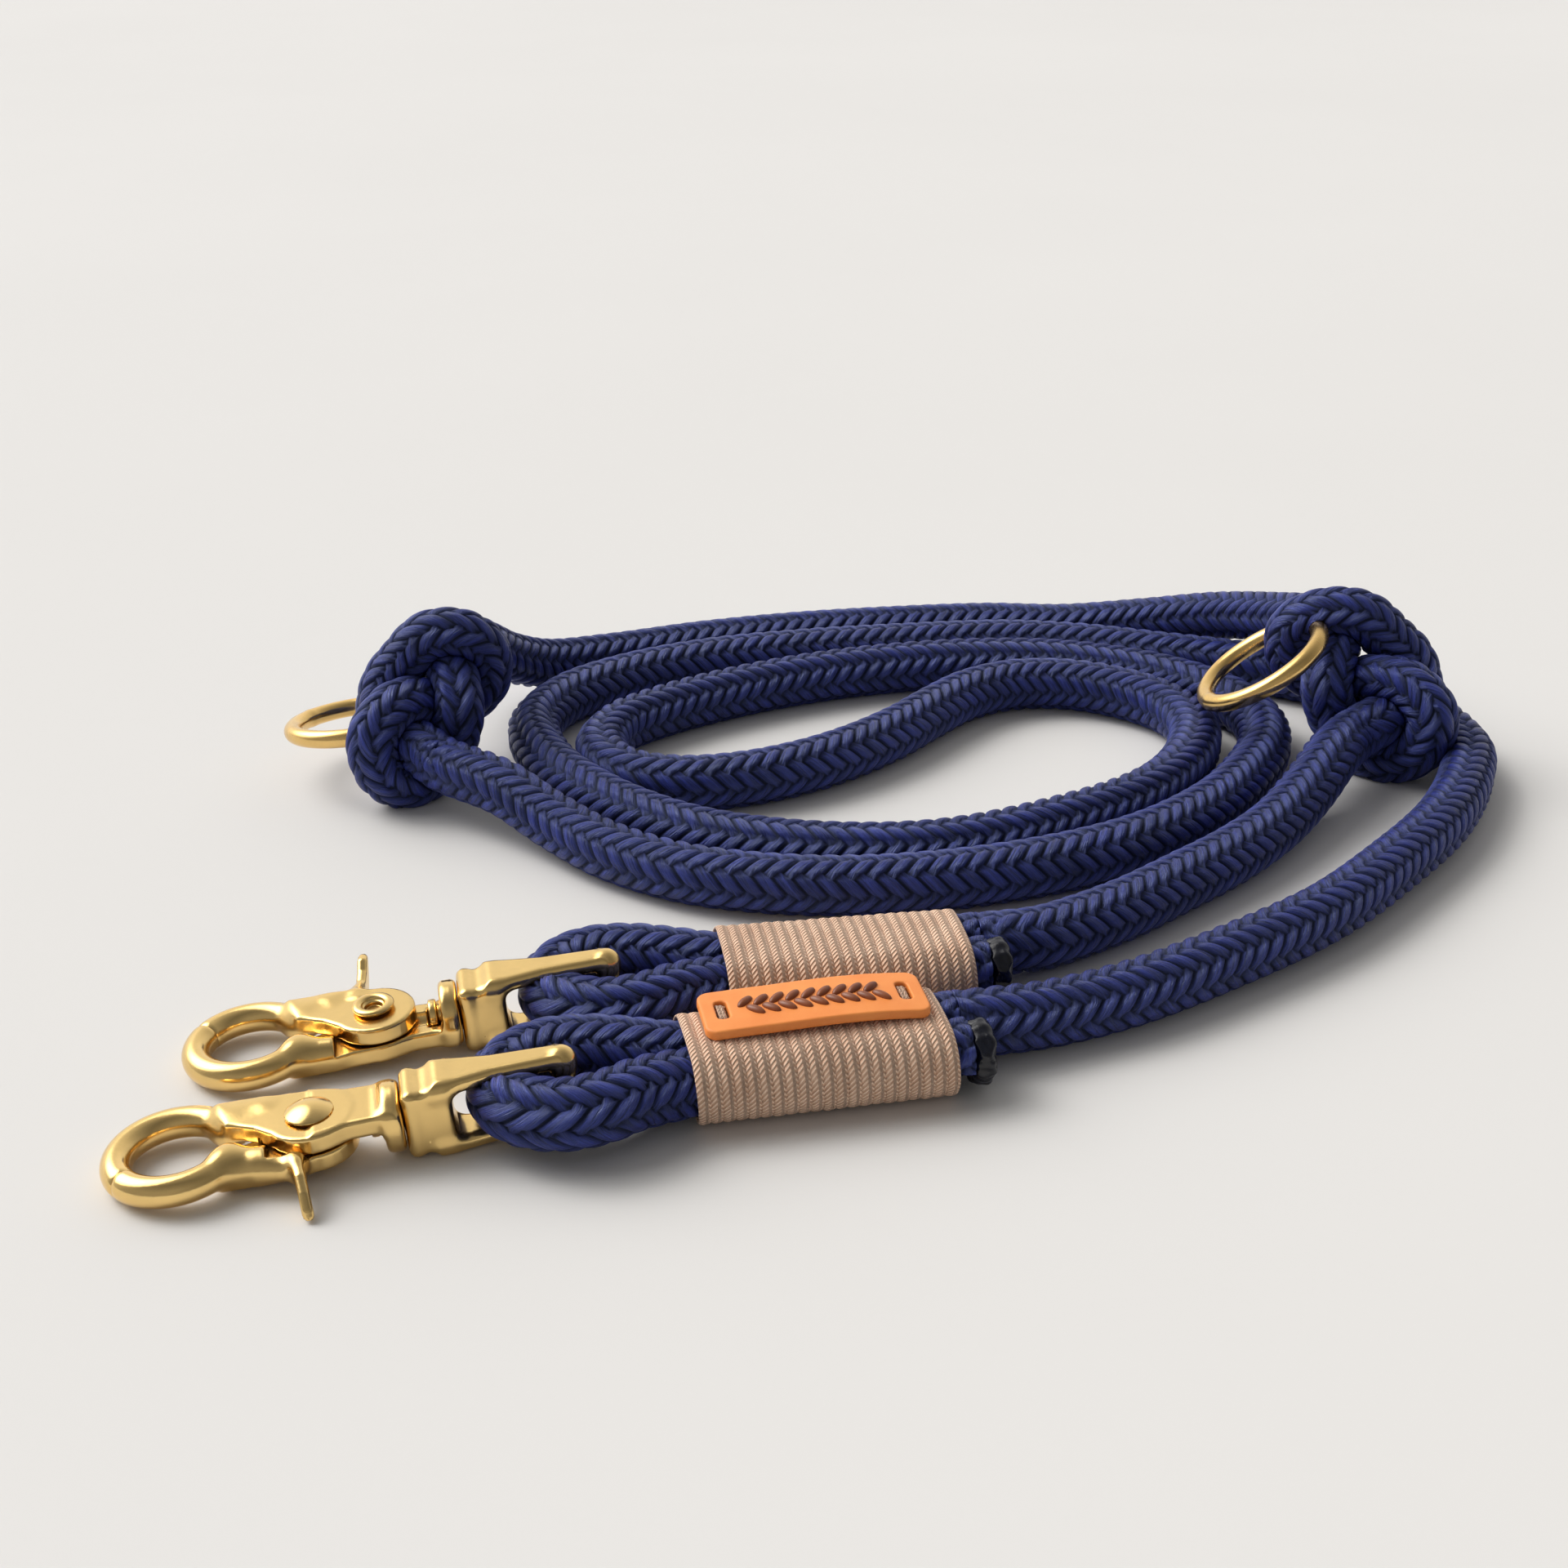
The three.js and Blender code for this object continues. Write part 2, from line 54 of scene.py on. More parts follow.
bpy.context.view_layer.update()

# %% [markdown]
# ## The camera and the surface
#
# The camera comes first. It stands low, about a forearm's length from the snaps, and looks down
# by a quarter of a right angle. The surface is one large pale sheet, not attached to the lead.

# %% Camera
camera_data = bpy.data.cameras.new("camera")
camera_data.sensor_width = 36
camera_data.lens = 48.75
camera_data.clip_start = 0.01
camera_data.clip_end = 50
camera = bpy.data.objects.new("camera", camera_data)
camera.location = (-23.835 * mm, -392.315 * mm, 206.9 * mm)
camera.rotation_euler = ((90 - 25.7) * degree, 0, 0)
bpy.context.scene.collection.objects.link(camera)
bpy.context.scene.camera = camera
print("camera at", tuple(camera.location))

# %% Small helpers for objects and meshes
def new_object(name, mesh):
    """A mesh object at the origin, in the scene."""
    piece = bpy.data.objects.new(name, mesh)
    bpy.context.scene.collection.objects.link(piece)
    return piece


def mesh_from(name, points, faces, smooth=True):
    """A mesh from an array of points in metres and an array or list of faces."""
    mesh = bpy.data.meshes.new(name)
    mesh.from_pydata(np.asarray(points).tolist(), [], [list(map(int, f)) for f in faces])
    mesh.validate()
    if smooth:
        mesh.shade_smooth()
    return mesh


def placed(points, matrix):
    """Points, in millimetres and in a piece's own axes, moved to the frame's metres."""
    matrix = np.array(matrix)
    return np.asarray(points) * mm @ matrix[:3, :3].T + matrix[:3, 3]


# %% [markdown]
# ## Materials
#
# Every finish is built from nodes, so that it stays sharp at any distance. What more than one
# finish needs is a node group: `wear` gives soft large marks and fine grain, and puts out
# masks only. The Principled shader stays in each material, and what is the same all over a
# surface is set on the shader's own socket.

# %% Node helpers
def new_material(name, **sockets):
    """A material with a Principled shader whose plain sockets are set by name."""
    material = bpy.data.materials.new(name)
    material.use_nodes = True
    shader = material.node_tree.nodes["Principled BSDF"]
    for socket, value in sockets.items():
        shader.inputs[socket.replace("_", " ")].default_value = value
    return material, material.node_tree, shader


def node(tree, kind, inputs=None, **settings):
    """A node with settings, whose inputs are set or linked by name or number."""
    made = tree.nodes.new(kind)
    for setting, value in settings.items():
        setattr(made, setting, value)
    for socket, value in (inputs or {}).items():
        if isinstance(value, bpy.types.NodeSocket):
            tree.links.new(value, made.inputs[socket])
        else:
            made.inputs[socket].default_value = value
    return made


def math_node(tree, operation, a, b=0.5, clamp=False):
    return node(tree, "ShaderNodeMath", {0: a, 1: b}, operation=operation,
                use_clamp=clamp).outputs[0]


def colour_mix(tree, factor, a, b, blend="MIX"):
    mixer = node(tree, "ShaderNodeMix", data_type="RGBA", blend_type=blend)
    for socket, value in ((0, factor), (6, a), (7, b)):
        if isinstance(value, bpy.types.NodeSocket):
            tree.links.new(value, mixer.inputs[socket])
        else:
            mixer.inputs[socket].default_value = value
    return mixer.outputs[2]


def spread(tree, value, low, high, to_low=0.0, to_high=1.0):
    """A value stretched from one range to another, and kept inside it."""
    return node(tree, "ShaderNodeMapRange", {
        "Value": value, "From Min": low, "From Max": high, "To Min": to_low,
        "To Max": to_high}).outputs[0]


# %% The shared wear group
wear = bpy.data.node_groups.new("wear", "ShaderNodeTree")
for socket, kind, way in (
    ("Size", "NodeSocketFloat", "INPUT"), ("Seed", "NodeSocketFloat", "INPUT"),
    ("Marks", "NodeSocketFloat", "OUTPUT"), ("Grain", "NodeSocketFloat", "OUTPUT"),
):
    wear.interface.new_socket(socket, in_out=way, socket_type=kind)
wear_in = wear.nodes.new("NodeGroupInput")
wear_out = wear.nodes.new("NodeGroupOutput")
here = wear.nodes.new("ShaderNodeTexCoord").outputs["Object"]
broad = node(wear, "ShaderNodeTexNoise", {
    "Vector": here, "W": wear_in.outputs["Seed"], "Scale": wear_in.outputs["Size"],
    "Detail": 4.0, "Roughness": 0.6}, noise_dimensions="4D")
fine_scale = math_node(wear, "MULTIPLY", wear_in.outputs["Size"], 14.0)
fine_noise = node(wear, "ShaderNodeTexNoise", {
    "Vector": here, "W": wear_in.outputs["Seed"], "Scale": fine_scale, "Detail": 3.0,
    "Roughness": 0.7}, noise_dimensions="4D")
wear.links.new(broad.outputs["Fac"], wear_out.inputs["Marks"])
wear.links.new(fine_noise.outputs["Fac"], wear_out.inputs["Grain"])


def worn(tree, size, seed):
    """The wear group placed in a material, with the size of its marks per metre."""
    group = tree.nodes.new("ShaderNodeGroup")
    group.node_tree = wear
    group.inputs["Size"].default_value = size
    group.inputs["Seed"].default_value = seed
    return group.outputs["Marks"], group.outputs["Grain"]


# %% [markdown]
# ### Satin rope
#
# The rope is plaited from flat bundles of shiny filament. Each bundle catches the light in fine
# streaks along its own length. The mesh carries a UV map whose U runs along a bundle and whose V
# runs across it, in millimetres, so one noise stretched along U gives the streaks, as bumps and
# as painted sheen in the colour, and a second, broad one makes each bundle a slightly different
# navy. A tinted specular keeps highlights blue. The mesh's `height` attribute roughens the
# hollows between bundles, paints shade into them and paints the crests a little lighter.

# %% Rope material
rope_satin, tree, shader = new_material(
    "rope_satin", Specular_Tint=(0.46, 0.56, 1.0, 1.0), Specular_IOR_Level=1.0)
bundle = node(tree, "ShaderNodeUVMap", uv_map="UVMap").outputs[0]
streak_place = node(tree, "ShaderNodeMapping", {"Vector": bundle, "Scale": (0.10, 1.9, 1.0)})
streaks = node(tree, "ShaderNodeTexNoise", {
    "Vector": streak_place.outputs[0], "Scale": 1.0, "Detail": 4.0, "Roughness": 0.78})
shade_place = node(tree, "ShaderNodeMapping", {"Vector": bundle, "Scale": (0.05, 0.11, 1.0)})
shades = node(tree, "ShaderNodeTexNoise", {
    "Vector": shade_place.outputs[0], "Scale": 1.0, "Detail": 1.0})
height = node(tree, "ShaderNodeAttribute", attribute_name="height").outputs["Fac"]
# The streaks are painted sheen: the colour runs from dark to light navy along each bundle's
# filaments.
light_and_dark = spread(tree, streaks.outputs["Fac"], 0.38, 0.62)
navy = colour_mix(tree, light_and_dark, (0.007, 0.010, 0.070, 1), (0.032, 0.046, 0.285, 1))
own_shade = spread(tree, shades.outputs["Fac"], 0.3, 0.7, 0.75, 1.2)
# The height paints shade into the grooves between bundles and paints the crests a little lighter.
groove_shade_and_crest_light = spread(tree, height, 0.25, 0.98, 0.05, 1.15)
bundle_colour_and_painted_shade = math_node(tree, "MULTIPLY", own_shade, groove_shade_and_crest_light)
navy = colour_mix(tree, 1.0, navy, bundle_colour_and_painted_shade, "MULTIPLY")
tree.links.new(navy, shader.inputs["Base Color"])
in_hollow = spread(tree, height, 0.4, 0.9, 0.4, 0.0)
tree.links.new(math_node(tree, "ADD", in_hollow, spread(
    tree, streaks.outputs["Fac"], 0.3, 0.7, 0.25, 0.46)), shader.inputs["Roughness"])
filament_bump = node(tree, "ShaderNodeBump", {
    "Height": streaks.outputs["Fac"], "Strength": 1.0, "Distance": 0.7 * mm})
tree.links.new(filament_bump.outputs[0], shader.inputs["Normal"])

# %% [markdown]
# ### Brass, twine, rubber, melted rope and spring wire
#
# The snaps are cast, tumbled and polished, then handled: broad soft marks change how sharp
# the reflections are, hollows hold a darker brown film, and a faint ripple from the casting
# bends every reflection a little. The mesh's `hollow` attribute says how deep in a hollow a
# point lies, so the film sits where a cloth wouldn't reach.

# %% Brass
def make_brass(name, colour, seed, rough=(0.13, 0.27)):
    material, tree, shader = new_material(name, Metallic=1.0)
    marks, grain = worn(tree, 90.0, seed)
    hollow = node(tree, "ShaderNodeAttribute", attribute_name="hollow").outputs["Fac"]
    film = spread(tree, hollow, 0.25, 0.95)
    mottled = math_node(tree, "MULTIPLY", film, spread(tree, marks, 0.3, 0.6, 0.7, 1.0))
    bright = colour_mix(tree, spread(tree, marks, 0.35, 0.7), (*colour, 1),
                        (*[c * 0.86 for c in colour], 1))
    coloured = colour_mix(tree, mottled, bright, (0.40, 0.19, 0.035, 1))
    tree.links.new(coloured, shader.inputs["Base Color"])
    polish = spread(tree, marks, 0.32, 0.68, *rough)
    polish = math_node(tree, "ADD", polish, math_node(tree, "MULTIPLY", film, 0.18))
    tree.links.new(polish, shader.inputs["Roughness"])
    ripple = math_node(tree, "ADD", marks, math_node(tree, "MULTIPLY", grain, 0.12))
    bump = node(tree, "ShaderNodeBump", {
        "Height": ripple, "Strength": 0.35, "Distance": 0.22 * mm})
    tree.links.new(bump.outputs[0], shader.inputs["Normal"])
    return material


cast_brass = make_brass("cast_brass", (0.90, 0.625, 0.245), 1.0)
ring_brass = make_brass("ring_brass", (0.88, 0.585, 0.215), 4.0, (0.16, 0.3))
print("brass finishes", cast_brass.name, ring_brass.name)

# %% Twine
def make_twine(name, light, dark, across):
    """A braided twine: the UV map runs along it in millimetres and once round it."""
    material, tree, shader = new_material(name, Specular_IOR_Level=0.35, Sheen_Weight=0.15,
                                          Sheen_Roughness=0.5)
    along = node(tree, "ShaderNodeUVMap", uv_map="UVMap").outputs[0]
    parts = node(tree, "ShaderNodeSeparateXYZ", {0: along})
    from_middle = math_node(tree, "ABSOLUTE", math_node(
        tree, "SUBTRACT", math_node(tree, "FRACT", math_node(
            tree, "MULTIPLY", parts.outputs[1], across)), 0.5))
    lean = math_node(tree, "ADD", math_node(tree, "MULTIPLY", parts.outputs[0], 1.1),
                     math_node(tree, "MULTIPLY", from_middle, 2.6))
    plies = math_node(tree, "SINE", math_node(tree, "MULTIPLY", lean, 2 * math.pi))
    marks, grain = worn(tree, 160.0, 2.0)
    # The plies' stripes paint shade into the creases between plies and paint the raised plies
    # lighter; the wear marks and grain are the twine's own variation.
    ply_shade_and_wear = math_node(tree, "ADD", math_node(tree, "MULTIPLY", plies, 0.34), marks)
    ply_shade_and_wear = math_node(tree, "ADD", ply_shade_and_wear, math_node(tree, "MULTIPLY", grain, 0.3))
    coloured = colour_mix(tree, spread(tree, ply_shade_and_wear, 0.35, 1.0), (*dark, 1), (*light, 1))
    tree.links.new(coloured, shader.inputs["Base Color"])
    shader.inputs["Roughness"].default_value = 0.72
    bump = node(tree, "ShaderNodeBump", {
        "Height": math_node(tree, "ADD", plies, grain), "Strength": 0.9,
        "Distance": 0.16 * mm})
    tree.links.new(bump.outputs[0], shader.inputs["Normal"])
    return material


whipping_twine = make_twine("whipping_twine", (0.99, 0.715, 0.525), (0.62, 0.365, 0.235), 2.0)

# %% Rubber, melted rope, spring wire
label_rubber, tree, shader = new_material("label_rubber", Roughness=0.5,
                                          Specular_IOR_Level=0.4)
marks, grain = worn(tree, 120.0, 3.0)
orange = colour_mix(tree, spread(tree, marks, 0.35, 0.65), (0.90, 0.275, 0.060, 1),
                    (0.95, 0.33, 0.080, 1))
tree.links.new(orange, shader.inputs["Base Color"])
bump = node(tree, "ShaderNodeBump", {"Height": grain, "Strength": 0.25, "Distance": 0.1 * mm})
tree.links.new(bump.outputs[0], shader.inputs["Normal"])

motif_rubber, tree, shader = new_material("motif_rubber", Roughness=0.42)
marks, grain = worn(tree, 140.0, 5.0)
russet = colour_mix(tree, spread(tree, marks, 0.35, 0.65), (0.17, 0.040, 0.012, 1),
                    (0.27, 0.075, 0.022, 1))
tree.links.new(russet, shader.inputs["Base Color"])

melted_black, tree, shader = new_material("melted_black", Specular_IOR_Level=0.45)
marks, grain = worn(tree, 260.0, 6.0)
soot = colour_mix(tree, spread(tree, marks, 0.35, 0.7), (0.0012, 0.0016, 0.004, 1),
                  (0.004, 0.006, 0.017, 1))
tree.links.new(soot, shader.inputs["Base Color"])
tree.links.new(spread(tree, marks, 0.3, 0.7, 0.14, 0.36), shader.inputs["Roughness"])
bump = node(tree, "ShaderNodeBump", {"Height": marks, "Strength": 0.45, "Distance": 0.5 * mm})
tree.links.new(bump.outputs[0], shader.inputs["Normal"])

spring_wire, tree, shader = new_material("spring_wire", Metallic=1.0)
marks, grain = worn(tree, 300.0, 7.0)
steel = colour_mix(tree, spread(tree, marks, 0.35, 0.65), (0.42, 0.43, 0.45, 1),
                   (0.52, 0.53, 0.55, 1))
tree.links.new(steel, shader.inputs["Base Color"])
tree.links.new(spread(tree, grain, 0.3, 0.7, 0.2, 0.38), shader.inputs["Roughness"])
print("materials", [m.name for m in bpy.data.materials])

# %% [markdown]
# ## The rope's route
#
# A rope's place is one smooth line. Its points are listed and joined by a centripetal Catmull-Rom
# curve, which passes through every point without overshooting in a tight turn. The route starts
# at the front whipping, runs round the coil to the left knot, on to the right knot, and ends at
# the rear whipping.

# %% Sizes shared with the frame
rope_diameter = 12
on_floor = rope_diameter / 2 + 0.05
knot_foot = 5.6
knot_settle = 1.1
whipping_length = 47
pair_spacing = 8.8
whipping_height = 7.15
tail_length = 2
box_centre = np.array([1.835, 0.315, 0])
ends = {
    "front": dict(mouth=(-39.4, -88.6), turn=11.5),
    "rear": dict(mouth=(-34, -58), turn=8.5),
}


def in_whipping(end, along, aside, height):
    """A point given along and aside of a whipping, measured from its mouth."""
    x, y = ends[end]["mouth"]
    c, s = math.cos(ends[end]["turn"] * degree), math.sin(ends[end]["turn"] * degree)
    return [x + along * c - aside * s, y + along * s + aside * c, height]


# %% Points of the route
front_coil = [[x, y, on_floor] for x, y in [
    (25, -69), (41, -62), (61, -49), (83, -32), (101, -12.5), (117, 8), (127, 27), (131.5, 42),
    (129, 58), (119.5, 73), (106, 84.5), (90, 93), (72, 98.8), (52, 104.8), (33, 107),
    (7, 104.5), (-18, 100.5), (-42, 94), (-61, 84), (-74, 71.5), (-79.5, 56), (-75, 38),
    (-64, 21), (-52, 9), (-38, 0), (-15, -6), (10, -5), (36, 6), (55, 19), (67, 35), (72, 52),
    (68.5, 66), (59, 75.5), (46, 81), (33, 80.5), (22, 74.5), (13, 64.5), (4, 53), (-7, 42),
    (-18, 34), (-31, 28), (-45, 26), (-57, 30.5), (-63, 42), (-60.5, 54.5), (-51, 64.5),
    (-34, 76), (-14, 85.5), (6, 91.5), (27, 94.5), (46, 93.5), (65, 87), (79.5, 76),
    (87.5, 61.5), (87, 46), (80, 30), (69, 14), (53, -1), (35, -11), (9, -19), (-16, -21),
    (-40, -16.5), (-58, -6),
]] + [[-71, 5.5, 7.5], [-82, 14.5, 10.5]]
between_knots = [
    [-93, 70, 20.5], [-88, 80, 13.5], [-80, 89.5, 8], [-65, 98.5, 6], [-42, 107, 6],
    [-18, 113.3, 6], [6, 117.2, 6], [30, 119.6, 6], [50, 117.5, 6.5], [70, 113.8, 9.5],
    [86, 105, 14.5], [97, 91.5, 19.5], [102, 80.5, 23],
]
rear_stretch = [
    [98, 29, 11.5], [90, 17, 8.5], [80, 3.5, 6.5], [69, -8.5, 6], [57, -19.5, 6],
    [45, -30, 6], [34, -38, 6.2], [26.5, -42.8, 6.6],
]
overhand = [
    [3.5, 19.5, 29.5], [2, 11, 30.5], [4.5, 3, 28.5], [6, -2, 22.5], [4, -3, 14.5],
    [-0.5, -5.5, 7.5], [-7, -10.5, 5.6], [-12.5, -13.5, 11], [-14, -13, 19.5],
    [-10.5, -8, 25], [-5.5, -2, 25], [-2, 4.5, 21], [5, 9, 20], [11, 10.5, 25.5],
    [11.5, 10.5, 34], [6, 8.5, 39.5], [-2, 7, 39.5], [-8, 6, 33.5], [-13, 4.5, 27],
    [-14, 1, 19.5], [-9, -4.5, 15.5], [-3, -10.5, 16], [3.5, -15.5, 14],
]


def knot_at(x, y, side, size):
    """The knot drawn at a place, mirrored or not, and squeezed along X, Y and Z."""
    return [[x + side * size[0] * px, y + size[1] * py,
             knot_foot - knot_settle + size[2] * (pz - knot_foot)] for px, py, pz in overhand]


left_knot = knot_at(-99, 39, 1, (0.86, 0.94, 0.82))[::-1]
right_knot = knot_at(107, 52, -1, (1.06, 0.96, 0.82))
whole = [
    in_whipping("front", whipping_length + tail_length, pair_spacing / 2, whipping_height),
    in_whipping("front", whipping_length + tail_length + 5, pair_spacing / 2, whipping_height),
    *front_coil, *left_knot, *between_knots, *right_knot, *rear_stretch,
    in_whipping("rear", whipping_length + tail_length + 5, pair_spacing / 2, whipping_height),
    in_whipping("rear", whipping_length + tail_length, pair_spacing / 2, whipping_height),
]
print("route points", len(whole))


# %% The smooth curve
def smooth_line(points, samples=24):
    """A centripetal Catmull-Rom curve through the points, sampled between each two."""
    points = np.asarray(points, float)
    padded = np.vstack([2 * points[0] - points[1], points, 2 * points[-1] - points[-2]])
    a, b, c, d = padded[:-3], padded[1:-2], padded[2:-1], padded[3:]
    d0, d1, d2 = (np.sqrt(np.linalg.norm(q - p, axis=1))[:, None]
                  for p, q in ((a, b), (b, c), (c, d)))
    t1 = ((b - a) / d0 - (c - a) / (d0 + d1) + (c - b) / d1) * d1
    t2 = ((c - b) / d1 - (d - b) / (d1 + d2) + (d - c) / d2) * d1
    share = (np.arange(samples) / samples)[None, :, None]
    b, c, t1, t2 = (x[:, None, :] for x in (b, c, t1, t2))
    line = (b + t1 * share + (3 * (c - b) - 2 * t1 - t2) * share ** 2
            + (2 * (b - c) + t1 + t2) * share ** 3)
    return np.vstack([line.reshape(-1, 3), points[-1]])


class Line:
    """A sampled line that can be read at any distance along it, with a frame that doesn't
    twist: each sample's side direction is the last one's, kept square to the line."""

    def __init__(self, points, samples=24, side=(0, 0, 1)):
        self.points = smooth_line(points, samples) - box_centre
        steps = np.linalg.norm(np.diff(self.points, axis=0), axis=1)
        self.station = np.concatenate([[0], np.cumsum(steps)])
        self.length = self.station[-1]
        forward = np.gradient(self.points, self.station, axis=0)
        self.forward = forward / np.linalg.norm(forward, axis=1)[:, None]
        side = np.asarray(side, float)
        sides = []
        for direction in self.forward:
            side = side - direction * (side @ direction)
            side = side / np.linalg.norm(side)
            sides.append(side)
        self.side = np.array(sides)

    def read(self, values, station):
        return np.stack([np.interp(station, self.station, values[:, k]) for k in range(3)], -1)

    def at(self, station):
        """Points, side directions and third directions at distances along the line."""
        centre = self.read(self.points, station)
        forward = self.read(self.forward, station)
        forward /= np.linalg.norm(forward, axis=-1, keepdims=True)
        side = self.read(self.side, station)
        side -= forward * (side * forward).sum(-1, keepdims=True)
        side /= np.linalg.norm(side, axis=-1, keepdims=True)
        return centre, side, np.cross(forward, side)


route = Line(whole)
after_coil = 2 + len(front_coil)
after_left = after_coil + len(left_knot)
after_between = after_left + len(between_knots)
after_right = after_between + len(right_knot)
coil_end = route.station[after_coil * 24]
left_end = route.station[(after_left - 1) * 24]
between_end = route.station[after_between * 24]
right_end = route.station[(after_right - 1) * 24]
print("free stretches", [round(x) for x in
      (coil_end, between_end - left_end, route.length - right_end)], "mm")

# %% [markdown]
# ## The plait
#
# Sixteen flat bundles are plaited over two, under two. What shows is eight columns of leaning
# bundles round the rope, leaning left and right in turn, and each bundle climbs one pitch as
# it crosses its column. A texture can't give the broken outline that this makes, so it is
# modelled. The grid of each rope is sheared: its rings zigzag round the rope along the
# bundles, so the grooves between bundles fall on grid lines and stay sharp with few faces.
#
# Where one turn lies on another, on the surface or on a ring, a soft rope flattens. Each
# point that would be nearer to another turn's middle line than to its own is pushed back to
# the plane half way between the two.

# %% Plait sizes
columns = 8
pitch = 3.9
groove_radius = 5.15
crest_radius = 6.2
tip_reach = 0.125
tip_height = 0.5


def plait(line, start, stop, across=6, phase=0.0, swell=1.0):
    """The plaited surface along a line, from one distance to another: its points, the middle
    line's points, how high each point stands out of the grooves, and its distance along."""
    step = pitch / across
    whole_steps = np.arange(math.ceil((start + phase) / step + 0.2),
                            math.floor((stop + phase) / step - 0.2) + 1)
    level = np.concatenate([[start], whole_steps * step - phase, [stop]])[:, None]
    turn = np.arange(columns * across)
    column, share = turn // across, (turn % across) / across
    even = column % 2 == 0
    climb = np.where(even, share, 1 - share)[None, :] * pitch
    fade = np.clip(np.minimum(level - start, stop - level) / (1.5 * pitch), 0, 1)
    along = np.clip(level + (climb - pitch / 2) * fade, start, stop)
    # how far across its own bundle a point lies: next column's bundles are half a pitch on
    cell = (along + phase - climb + pitch / 2) / pitch + np.where(even, 0.0, 0.5)
    through = cell - np.floor(cell)
    pillow = np.sqrt(np.clip(1 - np.abs(2 * through - 1) ** 2.4, 0, 1))
    dive = np.sqrt(np.clip(1 - np.abs(2 * share - 1) ** 2.6, 0, 1))[None, :]
    beat = np.cos(2 * math.pi * (along + phase) / pitch)
    seam = (share == 0)[None, :]
    high = np.where(seam, tip_height * np.abs(beat), pillow * dive)
    swelling = np.clip(np.minimum(along - start, stop - along) / 20, 0, 1)
    radius = (groove_radius + (crest_radius - groove_radius) * high) * (
        1 + (swell - 1) * swelling)
    towards = np.where(even, -1, 1)[None, :]
    angle = (turn / (columns * across))[None, :] * 2 * math.pi
    angle = angle + np.where(seam, towards * tip_reach * beat, 0)
    centre, side, third = line.at(along)
    points = centre + radius[..., None] * (np.cos(angle)[..., None] * side
                                           + np.sin(angle)[..., None] * third)
    return points, centre, high, along


def plait_mesh(name, points, high, across):
    """Faces, end caps, UV map and height attribute for a plaited surface."""
    rings, round_it = high.shape
    ring = np.arange(rings - 1)[:, None] * round_it
    here = np.arange(round_it)
    there = (here + 1) % round_it
    faces = np.stack([ring + here, ring + there, ring + round_it + there,
                      ring + round_it + here], -1).reshape(-1, 4)
    first, last, top = rings * round_it, rings * round_it + 1, (rings - 1) * round_it
    lids = [(first, b, a) for a, b in zip(here, there)]
    lids += [(last, top + a, top + b) for a, b in zip(here, there)]
    caps = [points[0].mean(0), points[-1].mean(0)]
    mesh = mesh_from(name, np.vstack([points.reshape(-1, 3), caps]) * mm,
                     [*faces.tolist(), *lids])
    # U runs along a bundle and V across it, in millimetres
    bundle_length = math.hypot(pitch, 2 * math.pi * crest_radius / columns)
    bundle_step = pitch * 0.77 / across
    column, share = here // across, (here % across) / across
    odd = column % 2 == 1
    near = np.where(odd, 1 - share, share) * bundle_length + column * 17.0
    far = near + np.where(odd, -1, 1) * bundle_length / across
    low = np.arange(rings - 1)[:, None] * bundle_step + 0 * near
    near, far = near + 0 * low, far + 0 * low
    corners = np.stack([near, low, far, low, far, low + bundle_step, near, low + bundle_step],
                       -1).reshape(-1, 2)
    uv = np.vstack([corners, np.zeros((len(mesh.loops) - len(corners), 2))])
    layer = mesh.uv_layers.new(name="UVMap")
    layer.data.foreach_set("uv", uv.astype(np.float32).ravel())
    # The rope's material reads this height to paint shade into the grooves and light onto the
    # crests.
    shade = mesh.attributes.new("height", "FLOAT", "POINT")
    shade.data.foreach_set("value", np.append(high.ravel(), [0, 0]).astype(np.float32))
    mesh.materials.append(rope_satin)
    return mesh


def keep_apart(points, own, station, others, other_station, slack=0.06):
    """Pushes each point back over the plane half way between its own middle line and the
    nearest other one. Points closer than 15 mm along the same line aren't another turn."""
    low, high = points.min(0) - 8, points.max(0) + 8
    near = ((others > low) & (others < high)).all(1)
    others, other_station = others[near], other_station[near]
    if not len(others):
        return points
    for begin in range(0, len(points), 3000):
        part = slice(begin, begin + 3000)
        apart = ((points[part, None, :] - others[None, :, :]) ** 2).sum(-1)
        apart[np.abs(other_station[None, :] - station[part, None]) < 15] = 1e9
        between = others[apart.argmin(1)] - own[part]
        distance = np.linalg.norm(between, axis=1, keepdims=True)
        direction = between / distance
        over = ((points[part] - own[part]) * direction).sum(1, keepdims=True)
        points[part] -= np.maximum(0, over - (distance / 2 - slack)) * direction
    return points


# %% Ring places, read from the frame's joints
joints = {joint["name"]: joint for joint in frame["joints"]}
ring_radius = 14.5
ring_wire = 4


def axes_of(name):
    """A joint's place in millimetres and its axis."""
    joint = joints[name]
    return np.array(joint["pos_m"]) / mm, np.array(joint["axis"], float)


def clear_of_ring(points, name):
    """Pushes rope points out of a ring's wire, so that the rope wraps round it."""
    centre, axis = axes_of(name)
    away = points - centre
    height = away @ axis
    flat = away - height[:, None] * axis
    reach = np.linalg.norm(flat, axis=1, keepdims=True)
    wire = centre + flat / reach * ring_radius
    from_wire = points - wire
    distance = np.linalg.norm(from_wire, axis=1, keepdims=True)
    wanted = np.maximum(distance, ring_wire / 2 + 0.12)
    return wire + from_wire / distance * wanted


# %% Rope pieces along the route
route_stations = np.arange(0, route.length, 0.8)
route_middles = route.at(route_stations)[0]


